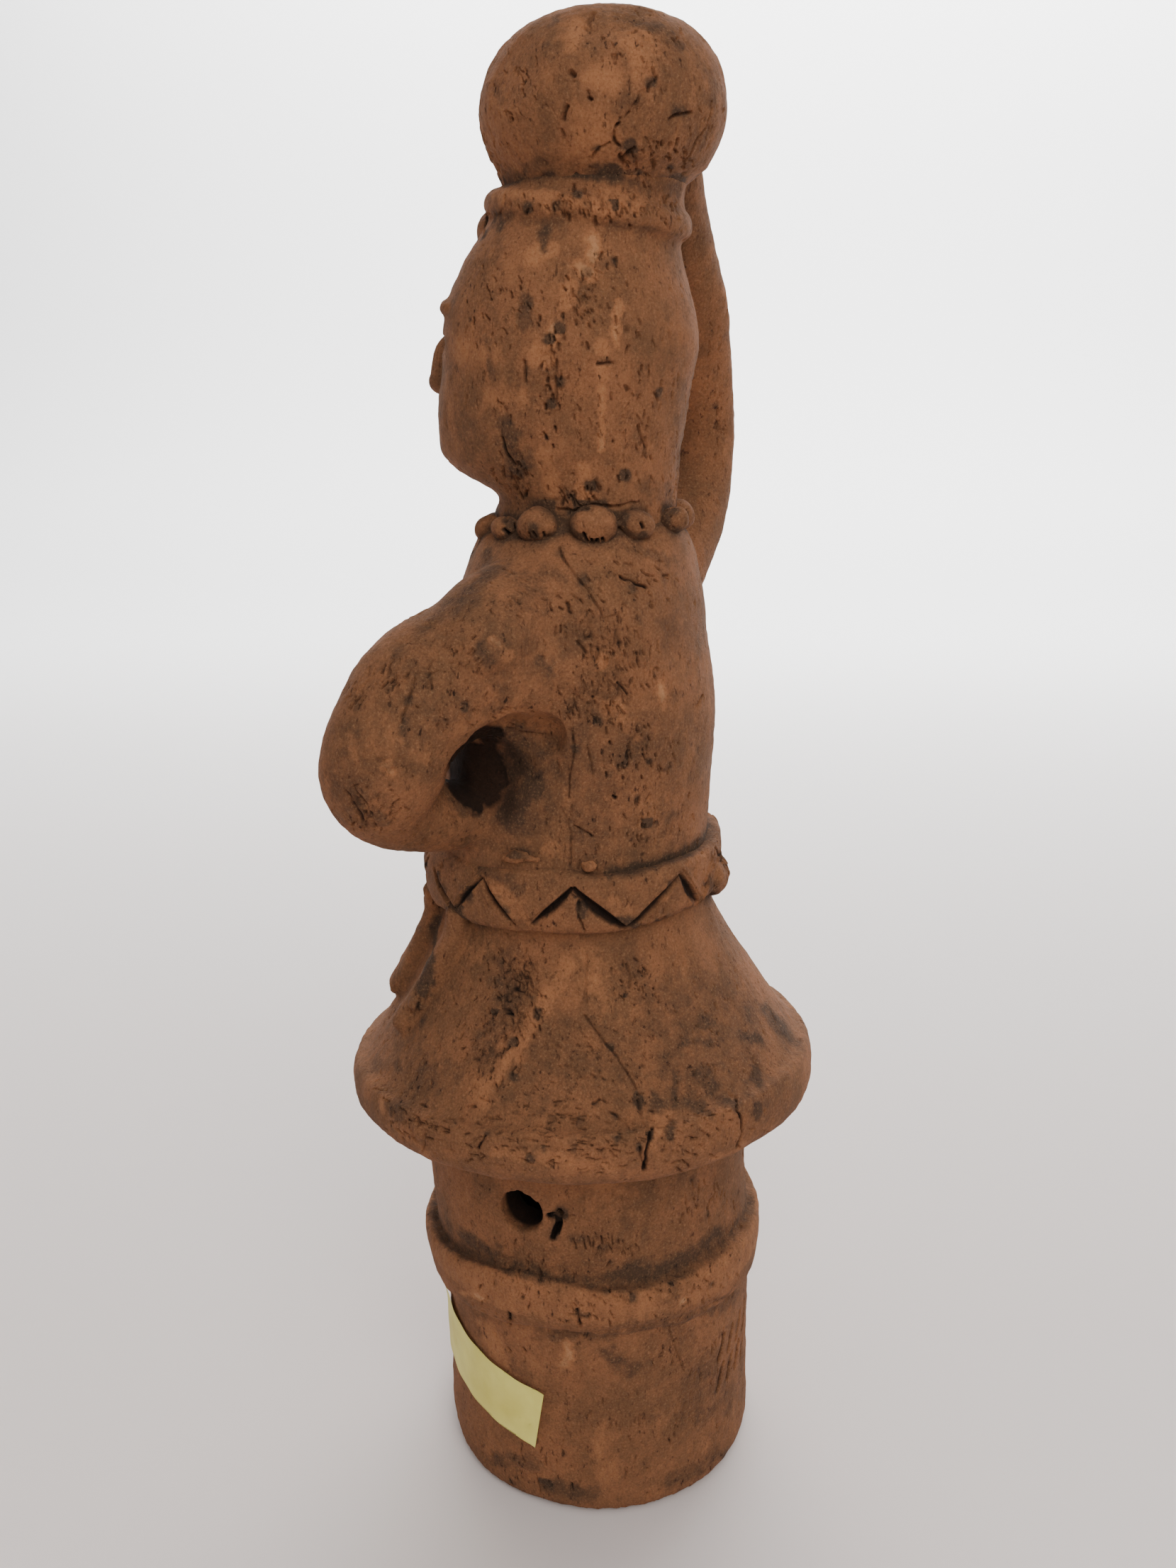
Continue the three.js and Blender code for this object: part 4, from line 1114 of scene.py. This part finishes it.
clay = bmesh.new()
for angle, half in (
    (-56, 2.6), (-31, 2.7), (-7, 3.5), (27, 4.1), (53, 3.0), (85, 2.8), (113, 3.1), (141, 2.8), (168, 3.2),
    (196, 2.7), (224, 3.0), (252, 2.6), (278, 2.7),
):
    turn = math.radians(angle)
    place = at_angle(angle, neck_radius + 0.5, neck_height - 0.4 + 2.4 * min(0, math.sin(turn)))
    for vert in lump(clay, (2.8, half, 0.86 * half), place, (0.2 * math.sin(5 * angle), 0, turn)):
        x, y, z = vert.co
        vert.co += 0.25 * Vector((math.sin(0.8 * z), math.sin(0.9 * x), math.sin(0.7 * y + angle)))
necklace = Skin("necklace", clay, 0.33, 2)
necklace.cracks(
    (824, 752, 828, 764, 0.19, 0.9, 0.5), (850, 760, 852, 768, 0.22, 1.0, 0.5),
    (842, 762, 840, 768, 0.17, 0.8, 0.5), (834, 762, 834, 768, 0.14, 0.7, 0.5),
    (858, 716, 866, 728, 0.11, 0.4, 0.5), (727, 738, 730, 752, 0.22, 1.0, 0.5),
    (712, 748, 722, 758, 0.19, 0.9, 0.5), (746, 752, 748, 758, 0.17, 0.7, 0.5),
    (904, 738, 908, 746, 0.22, 0.8, 0.5), (752, 750, 756, 757, 0.14, 0.6, 0.5),
    (766, 752, 768, 758, 0.14, 0.6, 0.5),
)
fire(necklace, 77, cracks=10, pits=40, torn=0)
necklace.paint_marks(
    necklace.rub, 1,
    (845, 722, 856, 740, 12, 0.3), (700, 728, 712, 740, 12, 0.4),
)
necklace.finish()

# Jar
# A pinched round pot, closed and slapped flat in places with a paddle, set on the ring.

clay = bmesh.new()
jar_radius = 19.9
profile = [(0.7, -0.06), (0.775, 0.03), (0.88, 0.13), (0.965, 0.28), (1, 0.42), (0.975, 0.56)]
profile += [(0.91, 0.7), (0.8, 0.82), (0.63, 0.92), (0.4, 0.98), (0.2, 0.995)]
outer = [(jar_base + z * jar_height, r * jar_radius, r * jar_radius, 0, 0, 0) for r, z in profile]
top = jar_base + jar_height
wrapped(clay, oval_rings(outer, 60) + [((0, lean(top), top), (0, 0, 0), (0, 0, 0))])
hollow = [(0.12, 0.74), (0.4, 0.7), (0.62, 0.52), (0.68, 0.36), (0.6, 0.2), (0.45, 0.04), (0.42, -0.06)]
inner = [(jar_base + z * jar_height, r * jar_radius, r * jar_radius, 0, 0, 0) for r, z in hollow]
top = jar_base + 0.75 * jar_height
wrapped(clay, [((0, 0, top), (0, 0, 0), (0, 0, 0))] + oval_rings(inner, 20))
bmesh.ops.bridge_loops(clay, edges=[edge for edge in clay.edges if edge.is_boundary])
jar = Skin("jar", clay, 0.45, 4)
# paddled facets
centre = np.array((0, -0.4, jar_base + 0.42 * jar_height))
for *away, deep in (
    (0.9, -0.42, 0.3, 1.0), (0.75, 0.25, 0.65, 0.6), (0.6, -0.6, 0.5, 0.6), (0.8, 0.55, 0.1, 0.4),
    (0.5, 0.3, 0.82, 0.7), (-0.4, -0.5, 0.7, 0.6), (-0.7, 0.6, 0.2, 0.6),
):
    away = np.array(away) / np.linalg.norm(away)
    depth = (jar.points - centre) @ away
    outside_only = np.linalg.norm(jar.points - centre, axis=1) > 0.55 * jar_radius
    limit = depth[outside_only].max() - deep
    over = np.clip(depth - limit, 0, None) * outside_only
    jar.points -= 0.8 * over[:, None] * away
jar.smooth(2)
jar.settle()
jar.cracks(
    (927, 106, 924, 113, 913, 127, 898, 133, 899, 140, 891, 149, 0.2, 0.8, 0.8),
    (887, 158, 880, 168, 868, 178, 864, 192, 868, 203, 878, 212, 875, 221, 879, 231, 0.16, 0.8, 0.8),
    (895, 208, 886, 216, 879, 225, 0.22, 0.8, 0.5), (861, 202, 847, 209, 833, 224, 0.14, 0.5, 0.4),
    (976, 158, 956, 162, 945, 169, 0.19, 0.6, 0.4), (800, 151, 796, 160, 794, 168, 0.25, 0.8, 0.3),
    (840, 20, 831, 31, 833, 48, 0.25, 0.6, 0.6), (804, 103, 808, 106, 0.28, 0.7, 0.4),
    (831, 138, 834, 140, 0.22, 0.8, 0.2), (950, 55, 953, 58, 0.22, 0.7, 0.3),
    (720, 166, 722, 168, 0.22, 0.7, 0.3), (934, 200, 935, 206, 0.19, 0.8, 0.3),
    (898, 42, 892, 46, 0.19, 0.6, 0.4), (922, 96, 926, 108, 0.17, 0.6, 0.5),
    (742, 114, 738, 120, 0.14, 0.5, 0.3), (694, 84, 698, 88, 0.22, 0.6, 0.4),
    (728, 96, 726, 100, 0.17, 0.6, 0.3), (956, 196, 954, 204, 0.17, 0.6, 0.4),
)
jar.combs(
    (860, 195, 960, 240, 34, 7, 0.4), (690, 90, 780, 200, 26, 7, 0.5, 0.08, 0.3),
    (820, 20, 960, 110, 26, 7, 0.2, 0.08, 0.3), (960, 100, 1016, 220, 22, 7, -0.2, 0.08, 0.3),
)
jar.tatters(
    (898, 140, 14, 0.4), (830, 40, 18, 0.35), (925, 60, 22, 0.2), (900, 95, 26, 0.12),
    (880, 190, 26, 0.15), (720, 180, 40, 0.1), (950, 110, 30, 0.14), (800, 200, 40, 0.08),
    (1000, 190, 24, 0.2), (880, 30, 26, 0.2),
)
fire(jar, 91, cracks=10, pits=110, torn=3)
jar.paint_marks(
    jar.soot, 1,
    (786, 24, 782, 34, 10, 0.5), (905, 34, 925, 38, 12, 0.45), (945, 52, 958, 60, 10, 0.55),
    (1000, 110, 1010, 130, 18, 0.4), (878, 74, 884, 82, 10, 0.3), (770, 64, 776, 76, 9, 0.4),
    (700, 120, 710, 135, 12, 0.3), (835, 240, 900, 248, 8, 0.6), (763, 232, 740, 236, 10, 0.5),
    (1015, 78, 1020, 90, 10, 0.4), (870, 150, 900, 140, 8, 0.35),
)
jar.paint_marks(
    jar.rub, 1,
    (850, 110, 860, 118, 18, 0.45), (812, 40, 806, 60, 14, 0.4), (835, 180, 840, 190, 24, 0.3),
    (900, 60, 905, 80, 16, 0.35), (700, 150, 680, 170, 20, 0.2),
)
jar.rub += 0.2
jar.finish()

# Painted shade in the joints
# Every crease is painted darker as shade: how shut in each bit of skin is tells how dark.


def triangles(piece):
    return sum(len(polygon.vertices) - 2 for polygon in piece.data.polygons)


def thinned(piece, inner, limit=195000):
    """Takes faces out where they shape the clay least, the hidden inside first."""
    if triangles(piece) < limit:
        return
    group = piece.vertex_groups.new(name="inner")
    group.add([int(index) for index in np.flatnonzero(inner)], 1, "REPLACE")
    hollow = piece.modifiers.new("hollow", "DECIMATE")
    hollow.vertex_group = "inner"
    hollow.ratio = 1 - 0.9 * inner.mean()
    settled(piece)
    piece.vertex_groups.clear()
    if triangles(piece) > limit:
        piece.modifiers.new("outside", "DECIMATE").ratio = limit / triangles(piece)
        settled(piece)


corners, walls = [], []
for skin in skins:
    first = len(corners)
    corners += [vert.co.copy() for vert in skin.piece.data.vertices]
    walls += [tuple(first + index for index in face) for face in skin.faces]
whole = BVHTree.FromPolygons(corners, walls)
draw = np.random.default_rng(5)
fan = draw.normal(0, 1, (14, 3))
fan /= np.linalg.norm(fan, axis=1)[:, None]
far = 0.007
for skin in skins:
    mesh = skin.piece.data
    places, normals = numbers(mesh.vertices, "co"), numbers(mesh.vertex_normals, "vector")
    cells = np.floor(places / 0.0016).astype(np.int64)
    _, chosen, group = np.unique(cells, axis=0, return_index=True, return_inverse=True)
    group = group.ravel()
    crease_shade = np.zeros(len(chosen))
    for number, index in enumerate(chosen):
        normal = Vector(normals[index])
        start = Vector(places[index]) + normal * 0.0004
        for arrow in fan:
            toward = Vector(arrow)
            if toward.dot(normal) < 0:
                toward.negate()
            _, _, _, distance = whole.ray_cast(start, (toward + normal * 0.25).normalized(), far)
            if distance is not None:
                crease_shade[number] += 1 - distance / far
    # painted shade: the share of short rays that hit clay near each vertex darkens its colour
    smoothed_crease_shade = crease_shade[group] / len(fan)
    for _ in range(6):
        smoothed_crease_shade = skin.average(smoothed_crease_shade)
    local = places / 0.001 - np.array(foot_in_row)
    turn = np.degrees(np.arctan2(local[:, 1] + 6, local[:, 0]))
    smeared = (np.abs(local[:, 2] - belt_height - 6) < 3) & (turn < 34) & (turn > -150)
    smoothed_crease_shade = np.where(smeared, 0.4 * smoothed_crease_shade, smoothed_crease_shade)
    deepness = {belt: 0.75, head: 0.62, jar: 0.55}.get(skin, 1)
    # painted shade: cracks and pits are painted towards black by their depth, with the loop's and the bore's
    # painted shade added
    cavity_shade = np.clip(skin.sink - skin.broad - 0.2, 0, 1) * deepness + 0.7 * skin.hollow_shade
    for name, values in (("soot", skin.soot), ("rub", skin.rub), ("crease_shade", smoothed_crease_shade), ("cavity_shade", cavity_shade)):
        layer = mesh.attributes.new(name, "FLOAT", "POINT")
        layer.data.foreach_set("value", np.clip(values, 0, 1.5).astype(np.float32))
    radius = np.hypot(local[:, 0], local[:, 1] + 3)
    inward = local[:, 0] * normals[:, 0] + (local[:, 1] + 3) * normals[:, 1] < 0
    thinned(skin.piece, inward & (radius < 26))

# Fired clay
# Coarse low-fired terracotta: red-brown with orange where it is rubbed, grey-black where the smoke and dirt
# lie, painted shade in creases, cracks and hollows, a painted highlight on the pedestal's lip, grit in it,
# and a dry surface.

def wire(material, source, output, target, name):
    material.node_tree.links.new(source.outputs[output], target.inputs[name])


def colour(red, green, blue):
    """A shown colour of 0 to 255 as the light it stands for."""
    return (*[((part / 255 + 0.055) / 1.055) ** 2.4 for part in (red, green, blue)], 1)


def added(material, kind, **inputs):
    """A new node of a material, with some of its inputs set."""
    node = material.node_tree.nodes.new("ShaderNode" + kind)
    for name, value in inputs.items():
        node.inputs[name].default_value = value
    return node


def ramped(material, source, output, *stops):
    """A ramp between two colours, each with its place on it, that gives a material its colour."""
    ramp = added(material, "ValToRGB")
    for element, (position, *tint) in zip(ramp.color_ramp.elements, stops):
        element.position = position
        element.color = colour(*tint)
    wire(material, source, output, ramp, "Fac")
    wire(material, ramp, "Color", material.node_tree.nodes["Principled BSDF"], "Base Color")


terracotta = bpy.data.materials.new("terracotta")
terracotta.use_nodes = True
tree = terracotta.node_tree
tree.nodes.clear()
output = added(terracotta, "OutputMaterial")
shader = added(terracotta, "BsdfPrincipled")
wire(terracotta, shader, "BSDF", output, "Surface")
place = added(terracotta, "TexCoord")


def noise(scale, detail=4, rough=0.6, stretch=(1, 1, 1)):
    """Noise with this many lumps to a metre."""
    mapping = added(terracotta, "Mapping", Scale=stretch)
    wire(terracotta, place, "Object", mapping, "Vector")
    node = added(terracotta, "TexNoise", Scale=scale, Detail=detail, Roughness=rough)
    wire(terracotta, mapping, "Vector", node, "Vector")
    return node, "Fac"


def spread(source, low, high, bottom=0.0, top=1.0):
    """Stretches a value from low..high to bottom..top."""
    node = tree.nodes.new("ShaderNodeMapRange")
    for name, value in (("From Min", low), ("From Max", high), ("To Min", bottom), ("To Max", top)):
        node.inputs[name].default_value = value
    wire(terracotta, *source, node, "Value")
    return node, "Result"


def sums(kind, first, second):
    node = tree.nodes.new("ShaderNodeMath")
    node.operation = kind
    for number, part in enumerate((first, second)):
        if isinstance(part, tuple):
            tree.links.new(part[0].outputs[part[1]], node.inputs[number])
        else:
            node.inputs[number].default_value = part
    return node, 0


def painted(name):
    node = tree.nodes.new("ShaderNodeAttribute")
    node.attribute_name = name
    return node, "Fac"


def blended(base, over, share, kind="MIX"):
    node = tree.nodes.new("ShaderNodeMix")
    node.data_type = "RGBA"
    node.blend_type = kind
    for number, part in ((6, base), (7, over)):
        if len(part) == 2:
            tree.links.new(part[0].outputs[part[1]], node.inputs[number])
        else:
            node.inputs[number].default_value = part
    if isinstance(share, tuple):
        tree.links.new(share[0].outputs[share[1]], node.inputs[0])
    else:
        node.inputs[0].default_value = share
    return node, 2


red, brown, orange = colour(143, 95, 64), colour(114, 79, 54), colour(166, 111, 74)
pale, smoke_and_shade, black = colour(188, 140, 100), colour(70, 54, 41), colour(24, 15, 10)
upright = (1, 1, 0.45)
tone = blended(brown, red, spread(noise(70, 10, 0.7), 0.38, 0.6))
tone = blended(tone, orange, spread(noise(150, 8, 0.68, upright), 0.54, 0.7, 0, 0.5))
fine = sums("SUBTRACT", noise(420, 6, 0.7, upright), 0.55)
# wear and painted highlight: rubbed places and the lip's crest turn orange and pale
rubbed = sums("ADD", sums("MULTIPLY", painted("rub"), 0.9), fine)
tone = blended(tone, orange, spread(rubbed, 0.12, 0.5, 0, 0.85))
tone = blended(tone, pale, spread(rubbed, 0.62, 0.95, 0, 0.6))
smudge = spread(noise(90, 10, 0.74), 0.54, 0.68, 0, 0.5)
tone = blended(tone, smoke_and_shade, smudge)
# soot stains together with broad patches of painted shade
sooted = sums("ADD", painted("soot"), sums("MULTIPLY", sums("SUBTRACT", noise(380, 8, 0.75), 0.52), 1.5))
tone = blended(tone, smoke_and_shade, spread(sooted, 0.12, 0.72, 0, 0.85))
# painted shade: creases are darkened towards the smoke colour by how shut in they are
crease_shade_tone = sums("ADD", painted("crease_shade"), sums("MULTIPLY", sums("SUBTRACT", noise(330, 6, 0.7), 0.5), 0.35))
tone = blended(tone, smoke_and_shade, spread(crease_shade_tone, 0.1, 0.42, 0, 0.85))
grain = noise(2300, 4, 0.7)
tone = blended(tone, colour(0, 0, 0), sums("SUBTRACT", 1, spread(grain, 0.36, 0.5, 0.74, 1)))
tone = blended(tone, pale, spread(grain, 0.56, 0.7, 0, 0.3))
# painted shade in cracks, pits and hollows
tone = blended(tone, black, spread(painted("cavity_shade"), 0.02, 0.46, 0, 0.93))
patchy = spread(noise(95, 5, 0.6), 0.42, 0.62, 0.35, 1)
dashes = sums("MULTIPLY", spread(noise(1250, 4, 0.62, upright), 0.4, 0.31, 0, 1), patchy)
tone = blended(tone, black, sums("MULTIPLY", dashes, 0.75))
wire(terracotta, tone[0], tone[1], shader, "Base Color")
shader.inputs["Roughness"].default_value = 0.9
shader.inputs["Specular IOR Level"].default_value = 0.2
relief = sums("ADD", sums("MULTIPLY", noise(800, 8, 0.72), 0.75), sums("MULTIPLY", grain, 0.35))
relief = sums("SUBTRACT", relief, sums("MULTIPLY", dashes, 0.35))
bump = added(terracotta, "Bump", Strength=1.0, Distance=0.0006)
wire(terracotta, *relief, bump, "Height")
wire(terracotta, bump, "Normal", shader, "Normal")

for skin in skins:
    skin.piece.data.materials.clear()
    skin.piece.data.materials.append(terracotta)
    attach(skin.piece, "root")
    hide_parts("figure")

# Paper label
# A small sheet of thin yellow paper, stuck slanting round the pedestal, with its far corner loose.
# It is left blank.

label_long, label_high, label_thin = 35.0, 13.4, 0.14
clay = bmesh.new()
sheet = bmesh.ops.create_grid(clay, x_segments=70, y_segments=28, size=0.5)["verts"]
for vert in sheet:
    across, up = vert.co.x * label_long, vert.co.y * label_high
    along = across - label_long / 2
    angle = math.radians(0.8) + (along + 0.16 * up) / 32.0
    height = 22.2 + up - 0.17 * (across - label_long / 4)
    corner = max(0, (-across - 12) / 5.5) * max(0, (up + 1) / 8)
    radius = 32.0 + 0.7 * corner**2 + 0.06 * math.sin(0.9 * across) * math.sin(0.7 * up)
    radius += 0.25 * max(0, (across - 15.5) / 2) ** 2
    vert.co = (radius * math.cos(angle), radius * math.sin(angle) + lean(height), height)
bmesh.ops.solidify(clay, geom=clay.faces, thickness=label_thin)
label = as_object("blank_label", clay)
label.data.transform(into_row)
label.data.polygons.foreach_set("use_smooth", [True] * len(label.data.polygons))

paper = bpy.data.materials.new("yellow_paper")
paper.use_nodes = True
shader = paper.node_tree.nodes["Principled BSDF"]
place = added(paper, "TexCoord")
fibre = added(paper, "TexNoise", Scale=900, Detail=5)
wire(paper, place, "Object", fibre, "Vector")
ageing = added(paper, "TexNoise", Scale=140, Detail=4)
wire(paper, place, "Object", ageing, "Vector")
ramped(paper, ageing, "Fac", (0.3, 212, 198, 92), (0.68, 228, 218, 116))
shader.inputs["Roughness"].default_value = 0.55
bump = added(paper, "Bump", Strength=0.25, Distance=0.0001)
wire(paper, fibre, "Fac", bump, "Height")
wire(paper, bump, "Normal", shader, "Normal")
label.data.materials.append(paper)
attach(label, "root")
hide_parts("paper_label")

# Studio
# A pale sheet of card, curved up behind the figure, under a large soft light.
# Its colour is painted lighter towards the back, as painted light.

card = bmesh.new()
curve = [(1.2, 0), (0.2, 0), (-0.5, 0), (-0.95, 0.04), (-1.25, 0.3), (-1.32, 1.0), (-1.34, 2.2)]
run = smooth_run(curve, 60)
toward = Vector((eye.x, eye.y, 0)).normalized()
side = Vector((-toward.y, toward.x, 0))
sheet = bmesh.ops.create_grid(card, x_segments=2, y_segments=len(run) - 1, size=0.5)["verts"]
for vert in sheet:
    out, up = run[round((vert.co.y + 0.5) * (len(run) - 1))]
    vert.co = toward * out + side * vert.co.x * 5 + Vector((0, 0, up - 0.0002))
backdrop = as_object("backdrop", card)
backdrop.data.polygons.foreach_set("use_smooth", [True] * len(backdrop.data.polygons))
card_painted_light = bpy.data.materials.new("card")
card_painted_light.use_nodes = True
# painted light: the card's colour runs from darker in front to lighter behind and up the curve
behind = added(card_painted_light, "VectorMath")
behind.operation = "DOT_PRODUCT"
behind.inputs[1].default_value = -toward
wire(card_painted_light, added(card_painted_light, "TexCoord"), "Object", behind, 0)
ramped(card_painted_light, behind, "Value", (0.02, 220, 209, 204), (0.8, 250, 249, 248))
card_painted_light.node_tree.nodes["Principled BSDF"].inputs["Roughness"].default_value = 0.8
backdrop.data.materials.append(card_painted_light)


def soft_light(name, place, aim, size, power, tint):
    data = bpy.data.lights.new(name, "AREA")
    data.shape = "RECTANGLE"
    data.size, data.size_y = size
    data.energy = power
    data.color = tint
    lamp = bpy.data.objects.new(name, data)
    lamp.location = place
    lamp.rotation_euler = (Vector(aim) - Vector(place)).to_track_quat("-Z", "Y").to_euler()
    bpy.context.scene.collection.objects.link(lamp)


up = Vector((0, 0, 1))
soft_light("window", toward * 0.8 + side * 0.2 + up * 0.82, (0, 0, 0.17), (0.75, 0.75), 8.1, (1, 0.99, 0.97))
soft_light("ceiling", toward * 0.0 + side * 0.05 + up * 1.1, (0, 0, 0.1), (1.0, 1.0), 3.0, (1, 0.98, 0.96))
above, aim = toward * -0.85 + side * 0.3 + up * 1.15, toward * -1.4 + side * 0.3 + up * 0.7
soft_light("sweep", above, aim, (1.8, 0.4), 66, (0.98, 0.99, 1))
world = bpy.data.worlds.new("room")
world.use_nodes = True
world.node_tree.nodes["Background"].inputs["Color"].default_value = (0.93, 0.95, 1, 1)
world.node_tree.nodes["Background"].inputs["Strength"].default_value = 0.3
bpy.context.scene.world = world
